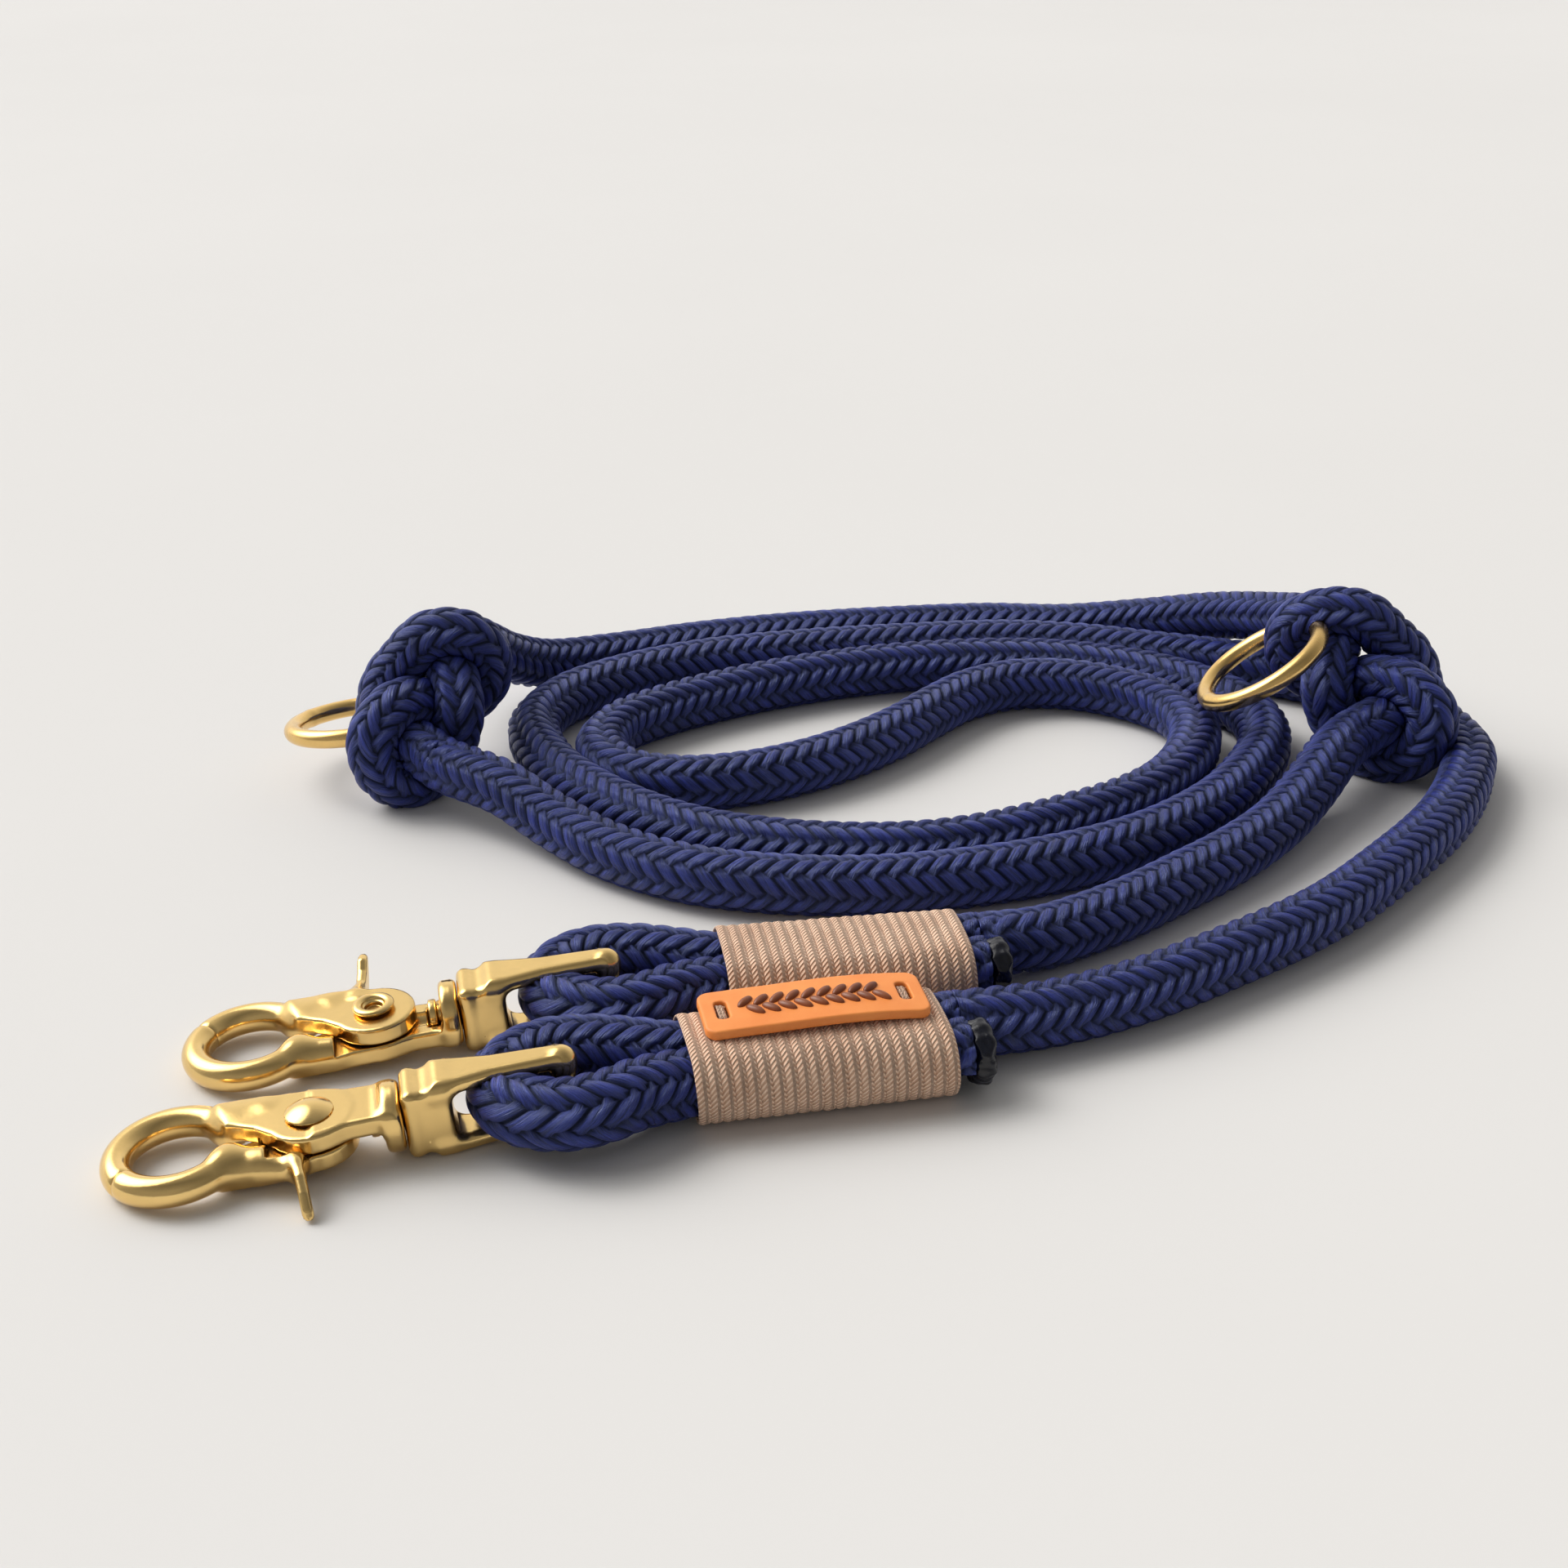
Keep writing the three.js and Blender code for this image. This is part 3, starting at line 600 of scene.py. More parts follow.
def stretch(name, start, stop, replaced, across=6, ring=None, swell=1.0):
    """A plaited stretch of the route, in place of one node of the frame."""
    points, centre, high, along = plait(route, start, stop, across, swell=swell)
    flat = keep_apart(points.reshape(-1, 3), centre.reshape(-1, 3), along.reshape(-1),
                      route_middles, route_stations)
    if ring:
        flat = clear_of_ring(flat, ring)
    flat[:, 2] = np.maximum(flat[:, 2], 0.02)
    piece = new_object(name, plait_mesh(name, flat.reshape(points.shape), high, across))
    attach(piece, "rope")
    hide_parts(replaced)
    print(name, len(piece.data.polygons) * 2, "triangles")
    return piece


plait_long = stretch("plait_long", 0.35, coil_end - 0.1, "rope_long")
plait_middle = stretch("plait_middle", left_end + 0.1, between_end - 0.1, "rope_middle")
plait_short = stretch("plait_short", right_end + 0.1, route.length - 0.35, "rope_short")
stretch("plait_knot_left", coil_end + 0.1, left_end - 0.1, "knot_left",
        ring="ring_left_turn", swell=0.97, across=8)
stretch("plait_knot_right", between_end + 0.1, right_end - 0.1, "knot_right",
        ring="ring_right_turn", swell=0.97, across=8)

# %% Points along the free stretches
for piece, start, stop, far_end in (
    (plait_long, 0.35, coil_end - 0.1, "knot"),
    (plait_middle, left_end + 0.1, between_end - 0.1, "knot"),
    (plait_short, right_end + 0.1, route.length - 0.35, "object"),
):
    path = route.at(np.append(np.arange(start, stop, 4.0), stop))[0] * mm

# %% [markdown]
# ## The spliced eyes
#
# Each rope end is bent round the bar of its snap and laid back along itself. Between the bow's
# two arms the rope is pressed flat, and round the bar it leaves a hollow. The eye has a line
# of its own, given along and aside of its whipping.

# %% Snap places
bar_height = 8.6
arm_inside = 4.2


def snap_place(end):
    """Where a snap lies: its bow's bar, with X along the snap and its tip towards -X."""
    middle, upward = axes_of(f"bow_{end}_swing")
    forward = axes_of(f"snap_{end}_swivel")[1]
    place = np.eye(4)
    place[:3, 0], place[:3, 1], place[:3, 2] = forward, np.cross(upward, forward), upward
    place[:3, 3] = middle * mm
    return place


# %% Eyes
pair_end = whipping_length + tail_length
pair_side = pair_spacing / 2
eye_points = [
    (pair_end, pair_side), (24, pair_side), (0, pair_side), (-8, 5.7), (-15, 7.2), (-22, 7.4),
    (-28, 4.2), (-30.5, -2), (-28.3, -8), (-22, -11.2), (-15, -10.6), (-8, -7),
    (0, -pair_side), (24, -pair_side), (pair_end, -pair_side),
]


def pressed_by_bow(points, end):
    """Rope between the bow's arms is flattened, and it swells sideways by as much."""
    place = snap_place(end)
    local = (points - place[:3, 3] / mm) @ place[:3, :3]
    under = np.clip((4.5 - np.abs(local[:, 1])) / 2.2, 0, 1)
    under *= np.clip((local[:, 0] + 20) / 3, 0, 1) * np.clip((3.5 - local[:, 0]) / 2.2, 0, 1)
    limit = arm_inside - 0.15 + (1 - under) * 3.5
    local[:, 2] = np.clip(local[:, 2], -limit, limit)
    return local @ place[:3, :3].T + place[:3, 3] / mm


def eye(end):
    rise = bar_height - whipping_height
    line = Line([in_whipping(end, along, aside,
                             whipping_height + rise * min(1, max(0, -along) / 12))
                 for along, aside in eye_points])
    points, centre, high, along = plait(line, 0, line.length, across=8, phase=1.7)
    stations = np.arange(0, line.length, 0.8)
    flat = keep_apart(points.reshape(-1, 3), centre.reshape(-1, 3), along.reshape(-1),
                      line.at(stations)[0], stations)
    flat = pressed_by_bow(flat, end)
    flat[:, 2] = np.maximum(flat[:, 2], 0.02)
    name = f"plait_eye_{end}"
    piece = new_object(name, plait_mesh(name, flat.reshape(points.shape), high, 8))
    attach(piece, "rope")
    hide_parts(f"rope_eye_{end}")
    print(name, round(line.length), "mm,", len(piece.data.polygons) * 2, "triangles")


for end in ends:
    eye(end)

# %% [markdown]
# ## Wrapped twine
#
# A whipping is one long twine wound tightly round both parts of the rope. Geometry Nodes make
# it: a straight line is resampled, each sample is moved to its place on a flattened helix, and
# the line gets a round section. The same tree, with other sizes, winds the small stitches
# through the label's slots and the trigger's spring, so it takes all its sizes as inputs.

# %% Geometry Nodes helpers
def geometry_tree(name, inputs):
    """An empty Geometry Nodes tree with named inputs and one geometry output."""
    tree = bpy.data.node_groups.new(name, "GeometryNodeTree")
    for label, kind in inputs:
        tree.interface.new_socket(label, in_out="INPUT", socket_type=kind)
    tree.interface.new_socket("Geometry", in_out="OUTPUT", socket_type="NodeSocketGeometry")
    return tree, tree.nodes.new("NodeGroupInput").outputs, tree.nodes.new("NodeGroupOutput")


def bake(name, tree, values, matrix):
    """Runs a tree on an empty mesh, makes the result plain, and puts it in its place."""
    maker = new_object(name, bpy.data.meshes.new(name))
    modifier = maker.modifiers.new(name, "NODES")
    modifier.node_group = tree
    for item in tree.interface.items_tree:
        if item.in_out == "INPUT" and item.name in values:
            modifier[item.identifier] = values[item.name]
    bpy.context.view_layer.update()
    evaluated = maker.evaluated_get(bpy.context.evaluated_depsgraph_get())
    mesh = bpy.data.meshes.new_from_object(evaluated)
    maker.modifiers.remove(modifier)
    mesh.transform(Matrix(matrix))
    mesh.name = name
    maker.data = mesh
    print(name, len(mesh.polygons), "faces")
    return maker


# %% The wrapping tree
wrapping, given, result = geometry_tree("wrapping", [
    ("Turns", "NodeSocketFloat"), ("Samples", "NodeSocketInt"), ("Length", "NodeSocketFloat"),
    ("Radius", "NodeSocketFloat"), ("Spread", "NodeSocketFloat"),
    ("Wire", "NodeSocketFloat"), ("Flatness", "NodeSocketFloat"),
    ("Unevenness", "NodeSocketFloat"),
    ("Material", "NodeSocketMaterial")])
line = node(wrapping, "GeometryNodeCurvePrimitiveLine")
samples = node(wrapping, "GeometryNodeResampleCurve", {
    "Curve": line.outputs[0], "Count": given["Samples"]})
share = node(wrapping, "GeometryNodeSplineParameter").outputs["Factor"]
turned = math_node(wrapping, "MULTIPLY", share, given["Turns"])
angle = math_node(wrapping, "MULTIPLY", turned, 2 * math.pi)
cosine = math_node(wrapping, "COSINE", angle)
sine = math_node(wrapping, "SINE", angle)
uneven = node(wrapping, "ShaderNodeTexNoise", {"W": turned, "Scale": 2.3, "Detail": 2.0},
              noise_dimensions="1D").outputs[0]
wobble = math_node(wrapping, "MULTIPLY", math_node(wrapping, "SUBTRACT", uneven, 0.5),
                   given["Unevenness"])
radius = math_node(wrapping, "ADD", given["Radius"], wobble)
side_on = math_node(wrapping, "MULTIPLY", cosine, 3.0)
side_on = math_node(wrapping, "MAXIMUM", math_node(wrapping, "MINIMUM", side_on, 1.0), -1.0)
aside = math_node(wrapping, "ADD", math_node(wrapping, "MULTIPLY", cosine, radius),
                  math_node(wrapping, "MULTIPLY", side_on, given["Spread"]))
along = math_node(wrapping, "ADD", math_node(wrapping, "MULTIPLY", share, given["Length"]),
                  math_node(wrapping, "MULTIPLY", wobble, 0.6))
place = node(wrapping, "ShaderNodeCombineXYZ", {
    0: along, 1: aside, 2: math_node(wrapping, "MULTIPLY", sine, radius)})
coil = node(wrapping, "GeometryNodeSetPosition", {
    "Geometry": samples.outputs[0], "Position": place.outputs[0]})
outward = node(wrapping, "ShaderNodeCombineXYZ", {1: cosine, 2: sine})
coil = node(wrapping, "GeometryNodeSetCurveNormal", {
    "Curve": coil.outputs[0], "Normal": outward.outputs[0]}, mode="FREE")
run = node(wrapping, "GeometryNodeCaptureAttribute", {"Geometry": coil.outputs[0]})
run.capture_items.new("FLOAT", "Run")
wrapping.links.new(node(wrapping, "GeometryNodeSplineParameter").outputs["Length"],
                   run.inputs["Run"])
section = node(wrapping, "GeometryNodeCurvePrimitiveCircle", {
    "Resolution": 12, "Radius": math_node(wrapping, "MULTIPLY", given["Wire"], 0.5)})
section = node(wrapping, "GeometryNodeTransform", {
    "Geometry": section.outputs[0],
    "Scale": node(wrapping, "ShaderNodeCombineXYZ", {
        0: given["Flatness"], 1: 1.0, 2: 1.0}).outputs[0]})
round_it = node(wrapping, "GeometryNodeCaptureAttribute", {"Geometry": section.outputs[0]})
round_it.capture_items.new("FLOAT", "Round")
wrapping.links.new(node(wrapping, "GeometryNodeSplineParameter").outputs["Factor"],
                   round_it.inputs["Round"])
wire = node(wrapping, "GeometryNodeCurveToMesh", {
    "Curve": run.outputs[0], "Profile Curve": round_it.outputs[0], "Fill Caps": True})
run_mm = math_node(wrapping, "MULTIPLY", run.outputs["Run"], 1 / mm)
uv = node(wrapping, "ShaderNodeCombineXYZ", {0: run_mm, 1: round_it.outputs["Round"]})
mapped = node(wrapping, "GeometryNodeStoreNamedAttribute", {
    "Geometry": wire.outputs[0], "Name": "UVMap", "Value": uv.outputs[0]},
    data_type="FLOAT2", domain="CORNER")
smooth = node(wrapping, "GeometryNodeSetShadeSmooth", {"Geometry": mapped.outputs[0]})
real = node(wrapping, "GeometryNodeRealizeInstances", {"Geometry": smooth.outputs[0]})
finished = node(wrapping, "GeometryNodeSetMaterial", {
    "Geometry": real.outputs[0], "Material": given["Material"]})
wrapping.links.new(finished.outputs[0], result.inputs[0])

# %% Whippings
def whipping_place(end, along=0, aside=0, up=0):
    """Axes of a whipping: X along it from its mouth, Z up."""
    place = Matrix.Rotation(ends[end]["turn"] * degree, 4, "Z")
    middle = np.array(in_whipping(end, along, aside, whipping_height + up)) - box_centre
    place.translation = Vector(middle * mm)
    return np.array(place)


def wound(name, matrix, body, slot, replaced, material, **values):
    values = {key.title(): value for key, value in values.items()}
    piece = bake(name, wrapping, {**values, "Material": material}, matrix)
    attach(piece, body)
    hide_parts(replaced)
    return piece


twine = 2.16
turns = 21.0
for end in ends:
    wound(f"whipping_twine_{end}", whipping_place(end, along=twine / 2), "rope", "twine",
          f"whipping_{end}", whipping_twine, turns=turns, samples=int(turns * 64),
          length=(whipping_length - twine) * mm, radius=6.68 * mm, spread=pair_side * mm,
          wire=twine * 1.05 * mm, flatness=0.4, unevenness=0.3 * mm)

# %% [markdown]
# ## Casting shapes from a distance field
#
# A cast snap has no sharp edge: every arm runs into the next with a fillet, and every rim is
# rounded by tumbling. Bevelling booleans seldom gives that. Here each casting is written as a
# distance field, a function that is negative inside the metal, built from rounded bars,
# blocks and plates that are joined smoothly. A grid is laid over it, one point is put in each
# cell that the surface crosses, and each point is then slid exactly onto the surface.

# %% Distance fields
def bar(p, a, b, radius):
    """A round bar from a to b with round ends."""
    a, b = np.array(a, float), np.array(b, float)
    share = np.clip(((p - a) @ (b - a)) / ((b - a) @ (b - a)), 0, 1)
    return np.linalg.norm(p - a - share[:, None] * (b - a), axis=1) - radius


def block(p, low, high, edge):
    """A box between two corners with rounded edges."""
    low, high = np.array(low, float), np.array(high, float)
    q = np.abs(p - (low + high) / 2) - (high - low) / 2 + edge
    return (np.linalg.norm(np.maximum(q, 0), axis=1) + np.minimum(q.max(1), 0)) - edge


def disc(p, centre, axis, radius, low, high, edge):
    """A cylinder on a given axis, 0 for X or 2 for Z, with rounded rims."""
    across = np.delete(p, axis, 1) - np.delete(np.array(centre, float), axis)
    q = np.stack([np.linalg.norm(across, axis=1) - radius,
                  np.abs(p[:, axis] - (low + high) / 2) - (high - low) / 2], 1) + edge
    return np.linalg.norm(np.maximum(q, 0), axis=1) + np.minimum(q.max(1), 0) - edge


def hoop(p, centre, radius, wire, start, stop, rise=1.0):
    """Part of a ring lying flat, between two angles in degrees; rise makes it taller."""
    q = p - np.array(centre, float)
    middle, half = (start + stop) / 2, (stop - start) / 2
    angle = (np.degrees(np.arctan2(q[:, 1], q[:, 0])) - middle + 180) % 360 - 180
    nearest = np.radians(np.clip(angle, -half, half) + middle)
    spot = radius * np.stack([np.cos(nearest), np.sin(nearest)], 1)
    flat = np.linalg.norm(q[:, :2] - spot, axis=1)
    return np.hypot(flat, q[:, 2] / rise) - wire / 2


def plate(p, outline, low, high, edge):
    """A flat plate with the outline's rounded corners, from height low to high."""
    outline = np.array(outline, float)
    following = np.roll(outline, -1, axis=0)
    flat, inside = np.full(len(p), 1e9), np.zeros(len(p), bool)
    for a, b in zip(outline, following):
        q, way = p[:, :2] - a, b - a
        share = np.clip((q @ way) / (way @ way), 0, 1)
        flat = np.minimum(flat, np.linalg.norm(q - share[:, None] * way, axis=1))
        cross = (a[1] > p[:, 1]) != (b[1] > p[:, 1])
        with np.errstate(divide="ignore", invalid="ignore"):
            reach = (b[0] - a[0]) * (p[:, 1] - a[1]) / (b[1] - a[1]) + a[0]
        inside ^= cross & (p[:, 0] < reach)
    flat = np.where(inside, -flat, flat)
    q = np.stack([flat, np.abs(p[:, 2] - (low + high) / 2) - (high - low) / 2], 1) + edge
    return np.linalg.norm(np.maximum(q, 0), axis=1) + np.minimum(q.max(1), 0) - edge


def join(a, b, fillet=1.0):
    share = np.clip(0.5 + 0.5 * (b - a) / fillet, 0, 1)
    return b + (a - b) * share - fillet * share * (1 - share)


def cut(a, b, fillet=0.3):
    return -join(-a, b, fillet)


# %% From field to mesh
def cast(name, field, low, high, place, material, cell=0.3, hollow_reach=1.8):
    """The surface where the field is zero, as a mesh in the frame."""
    axes = [np.arange(a, b + cell, cell) for a, b in zip(low, high)]
    grid = np.stack(np.meshgrid(*axes, indexing="ij"), -1)
    value = field(grid.reshape(-1, 3)).reshape(grid.shape[:3])
    inside = value < 0
    corner = [(i, j, k) for i in (0, 1) for j in (0, 1) for k in (0, 1)]
    view = {c: tuple(slice(d, n - 1 + d) for d, n in zip(c, inside.shape)) for c in corner}
    filled = sum(inside[view[c]].astype(int) for c in corner)
    mixed = (filled > 0) & (filled < 8)
    number = np.full(mixed.shape, -1)
    number[mixed] = np.arange(mixed.sum())
    total, hits = np.zeros((mixed.sum(), 3)), np.zeros((mixed.sum(), 1))
    for a in corner:
        for axis in range(3):
            if a[axis]:
                continue
            b = tuple(1 if k == axis else a[k] for k in range(3))
            va, vb = value[view[a]][mixed], value[view[b]][mixed]
            crossed = (va < 0) != (vb < 0)
            share = np.where(crossed, va / np.where(crossed, va - vb, 1), 0)
            spot = np.array(a, float) + share[:, None] * (np.array(b) - np.array(a))
            total += np.where(crossed[:, None], spot, 0)
            hits += crossed[:, None]
    points = np.array(low) + (np.argwhere(mixed) + total / hits) * cell
    points, slope = onto_surface(points, field, cell)
    faces = []
    for axis in range(3):
        one, two = (axis + 1) % 3, (axis + 2) % 3
        first = np.moveaxis(inside, (axis, one, two), (0, 1, 2))
        cells = np.moveaxis(number, (axis, one, two), (0, 1, 2))
        here, there = first[:-1, 1:-1, 1:-1], first[1:, 1:-1, 1:-1]
        around = np.stack([cells[:, :-1, :-1], cells[:, 1:, :-1], cells[:, 1:, 1:],
                           cells[:, :-1, 1:]], -1)
        faces += [around[here & ~there], around[~here & there][:, ::-1]]
    mesh = mesh_from(name, placed(points, place), np.vstack(faces))
    open_air = field(points + slope * hollow_reach) / hollow_reach
    attribute = mesh.attributes.new("hollow", "FLOAT", "POINT")
    attribute.data.foreach_set("value", np.clip(1 - open_air, 0, 1).astype(np.float32))
    mesh.materials.append(material)
    print(name, len(mesh.polygons) * 2, "triangles")
    return new_object(name, mesh)


def onto_surface(points, field, cell, rounds=4, probe=0.03):
    """Slides points along the field's slope until they lie on its surface."""
    for _ in range(rounds):
        slope = np.stack([(field(points + probe * e) - field(points - probe * e)) / (2 * probe)
                          for e in np.eye(3)], 1)
        size = np.maximum(np.linalg.norm(slope, axis=1, keepdims=True), 0.2)
        move = field(points)[:, None] * slope / size ** 2
        points = points - np.clip(move, -cell / 2, cell / 2)
    return points, slope / size


def fit(piece, body, replaced):
    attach(piece, body)
    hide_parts(replaced)
    return piece


# %% [markdown]
# ## The trigger snaps
#
# Each snap is four castings and a spring. The bow holds the rope and carries a headed shank,
# whose other end is hammered into a round button inside the fork.
# The hook turns on the shank and ends in one jaw. The trigger jaw is the other half of the
# loop: it turns on the rivet, and a thumb pulls the thin fin that stands out of it. Every field
# is written in the snap's own millimetres, measured from the bow's bar with the tip towards -X.

# %% Snap sizes
bar_to_block = 18.6
block_length = 8
collar_start = -(bar_to_block + block_length + 0.35)
collar_end = collar_start - 3.6
head_start = collar_end - 0.35
head_end = head_start - 1.4
bar_to_pivot = 41.6
bar_to_loop = 63.6
loop_radius = 9.5
loop_wire = 5
plate_radius = 7.2
plate_low, plate_high = 0.2, 3.4
loop_right = -bar_to_loop + loop_radius


def plate_outline(side):
    """The plate between a jaw and the rivet, for the jaw on side 1 or -1."""
    arc = [(-bar_to_pivot + plate_radius * math.cos(a * degree),
            side * plate_radius * math.sin(a * degree)) for a in range(210, 451, 12)]
    return [(loop_right + 1.2, side * 7.9), (loop_right - 2.4, side * 7.3),
            (loop_right - 1.0, side * 1.3), (loop_right + 3.6, side * -1.2), *arc]


# %% Fields of the castings
arm_outline = [(-bar_to_block - 3, -4.2), (-bar_to_block + 1, -4), (-bar_to_block + 7, -2.9),
               (0, -2.4), (0, 2.4), (-bar_to_block + 7, 2.9), (-bar_to_block + 1, 4),
               (-bar_to_block - 3, 4.2)]


def bow_field(p):
    field = bar(p, (0, 0, -arm_inside - 1), (0, 0, arm_inside + 1), 1.9)
    for side in (-1, 1):
        low, high = sorted((side * arm_inside, side * (arm_inside + 2.9)))
        arm = plate(p, arm_outline, low, high, 1.3)
        tip = bar(p, (0, 0, side * 4.4), (0, 0, side * 4.75), 2.4)
        field = join(field, join(arm, tip, 0.6), 1.6)
    end = -bar_to_block - block_length
    body = block(p, (end, -4.5, -6), (-bar_to_block, 4.5, 6), 1.4)
    lip = block(p, (end, -4.7, -6.2), (end + 2.6, 4.7, 6.2), 1.2)
    field = join(field, join(body, lip, 0.8), 2.2)
    peened = disc(p, (0, 0, 0), 0, 3.8, -bar_to_block - 1, -bar_to_block + 3.2, 1.4)
    body = join(body, peened, 0.3)
    shank = disc(p, (0, 0, 0), 0, 1.9, head_end + 0.4, end + 1, 0.2)
    head = disc(p, (0, 0, 0), 0, 2.9, head_end, head_start, 0.3)
    return np.minimum(field, np.minimum(shank, head))


def jaw_root(p, side):
    """The full-height stub between a jaw and the plate that it belongs to."""
    return bar(p, (loop_right - 1.6, side * 5.2, 0), (-49.6, side * 5.5, side * 0.3), 2.45)


def clear_of_plate(p, side):
    """The room that the other casting's plate needs, with a little space round it."""
    low, high = sorted((side * plate_low, side * 9))
    return plate(p, plate_outline(side), low, high, 0.02) - 0.3


def hook_field(p):
    top = plate(p, plate_outline(1), plate_low, plate_high, 0.55)
    jaw = hoop(p, (-bar_to_loop, 0, 0), loop_radius, loop_wire, 24, 209, 1.06)
    field = join(top, join(jaw, jaw_root(p, 1), 2.0), 2.4)
    shoulder = plate(p, [(-bar_to_pivot, 6.9), (-35.5, 5.4), (collar_end, 5.2),
                         (collar_start - 1.2, 5.4), (collar_start - 1.2, -5.4),
                         (collar_end, -5.2), (-35.5, -5.4), (-bar_to_pivot, -6.9)],
                     plate_low, plate_high + 0.3, 0.8)
    collar = disc(p, (0, 0, 0), 0, 5.9, collar_end + 0.4, collar_start, 1.0)
    field = join(field, join(shoulder, collar, 2.0), 0.8)
    over_trigger = block(p, (-bar_to_pivot - 7.4, -9, -9), (collar_end + 0.1, 9, plate_low), 0.02)
    field = cut(field, np.minimum(over_trigger, clear_of_plate(p, -1)), 0.15)
    field = cut(field, disc(p, (0, 0, 0), 0, 2.2, -50, -20, 0.1), 0.2)
    field = cut(field, disc(p, (0, 0, 0), 0, 3.25, head_end - 0.4, collar_end, 0.1), 0.2)
    return cut(field, disc(p, (-bar_to_pivot, 0, 0), 2, 2.3, -9, 9, 0.1), 0.2)


fin_outline = [(-5, 1.4), (-9.2, 1.7), (-12.6, 0.9), (-15.4, -0.9), (-17.4, -3.0), (-18.0, -4.6),
               (-15.9, -4.7), (-14.0, -3.5), (-11.5, -2.9), (-5, -3.0)]


def trigger_field(p):
    low = plate(p, plate_outline(-1), -plate_high, -plate_low, 0.55)
    jaw = hoop(p, (-bar_to_loop, 0, 0), loop_radius, loop_wire, 220, 336, 1.06)
    field = join(low, join(jaw, jaw_root(p, -1), 2.0), 2.4)
    pivot = -bar_to_pivot
    lean = p[:, [1, 2, 0]] - np.stack([0 * p[:, 0], 0 * p[:, 0], -0.12 * (p[:, 1] + 5)], 1)
    fin = plate(lean, fin_outline, pivot - 4.0, pivot - 2.1, 0.8)
    shoulder = bar(p, (pivot - 8.5, -6.6, -0.9), (pivot - 3.4, -8.2, -0.8), 2.1)
    field = join(field, join(shoulder, fin, 1.8), 1.8)
    under_hook = block(p, (pivot - 7.4, -7.4, -plate_low), (collar_end, 9, 9), 0.02)
    field = cut(field, np.minimum(under_hook, clear_of_plate(p, 1)), 0.15)
    field = cut(field, disc(p, (pivot, 0, 0), 2, 4.3, -1.8, 9, 0.1), 0.2)
    return cut(field, disc(p, (pivot, 0, 0), 2, 2.3, -9, 9, 0.1), 0.2)


def rivet_field(p):
    q = p - np.array([-bar_to_pivot, 0, 0])
    face = plate_high + 0.35
    dome = np.linalg.norm(q - [0, 0, face - 5.2], axis=1) - 6.75
    button = disc(q, (0, 0, 0), 2, 4.15, face, face + 4, 0.3)
    head = cut(np.maximum(dome, face - q[:, 2]), -button, 0.2)
    shank = disc(q, (0, 0, 0), 2, 2, -face - 0.3, face + 0.5, 0.1)
    rim = hoop(q, (0, 0, -face - 0.5), 2.85, 1.7, 0, 360, 0.62)
    field = join(np.minimum(head, shank), rim, 0.3)
    return cut(field, disc(q, (0, 0, 0), 2, 1.5, -9, -face + 0.6, 0.1), 0.5)


# %% Casting the snaps
for end, turned_over in (("front", False), ("rear", True)):
    place = snap_place(end)
    hook_place = place @ np.diag([1, -1, -1, 1]) if turned_over else place
    fit(cast(f"cast_bow_{end}", bow_field, (-34, -6, -8), (4, 6, 8), place, cast_brass),
        f"bow_{end}", f"bow_{end}")
    fit(cast(f"cast_hook_{end}", hook_field, (-77, -9, -7), (-25, 13, 7), hook_place,
             cast_brass), f"hook_{end}", f"hook_frame_{end}")
    fit(cast(f"cast_trigger_{end}", trigger_field, (-76, -23, -5), (-32, 9, 5), hook_place,
             cast_brass), f"trigger_{end}", f"trigger_jaw_{end}")
    fit(cast(f"cast_rivet_{end}", rivet_field, (-46.7, -5.2, -6), (-36.5, 5.2, 6.4), hook_place,
             cast_brass, cell=0.2), f"hook_{end}", f"rivet_{end}")
    upright = np.array([[0, 0, -1, 0], [0, 1, 0, 0], [1, 0, 0, 0], [0, 0, 0, 1]], float)
    upright[:3, 3] = (-bar_to_pivot * mm, 0, -1.05 * mm)
    wound(f"wound_spring_{end}", hook_place @ upright, f"trigger_{end}", "spring_steel",
          f"trigger_spring_{end}", spring_wire, turns=2.6, samples=96, length=0.62 * mm,
          radius=3.3 * mm, spread=0.0, wire=0.28 * mm, flatness=1.0, unevenness=0.0)

# %% [markdown]
# ## Rings, label and melted ends
#
# The rings are drawn wire, closed by a weld that the polishing leaves slightly thick. The
# label is one moulding with a slot near each end. Its raised pattern is two rows of leaning
# leaves, like the rope's own plait, placed by Geometry Nodes. Each rope end was melted to stop
# it fraying, which leaves a hard black bead with a half-round section.

# %% Rings
def ring_mesh(name, joint, weld):
    centre, axis = axes_of(joint)
    first = np.cross(axis, [0, 0, 1])
    first /= np.linalg.norm(first)
    second = np.cross(axis, first)
    around, section = np.meshgrid(np.arange(120) * 3 * degree, np.arange(24) * 15 * degree,
                                  indexing="ij")
    thick = 1 + 0.05 * np.exp(-((around - weld) / 0.06) ** 2)
    outward = np.cos(around)[..., None] * first + np.sin(around)[..., None] * second
    points = centre + outward * (ring_radius + ring_wire / 2 * thick * np.cos(section))[..., None]
    points = points + (ring_wire / 2 * thick * np.sin(section))[..., None] * axis
    index = np.arange(points[..., 0].size).reshape(around.shape)
    ahead, above = np.roll(index, -1, 0), np.roll(index, -1, 1)
    faces = np.stack([index, above, np.roll(above, -1, 0), ahead], -1).reshape(-1, 4)
    mesh = mesh_from(name, points.reshape(-1, 3) * mm, faces)
    mesh.materials.append(ring_brass)
    return new_object(name, mesh)


for side in ("left", "right"):
    fit(ring_mesh(f"drawn_ring_{side}", f"ring_{side}_turn", 2.0), f"ring_{side}",
        f"ring_{side}")

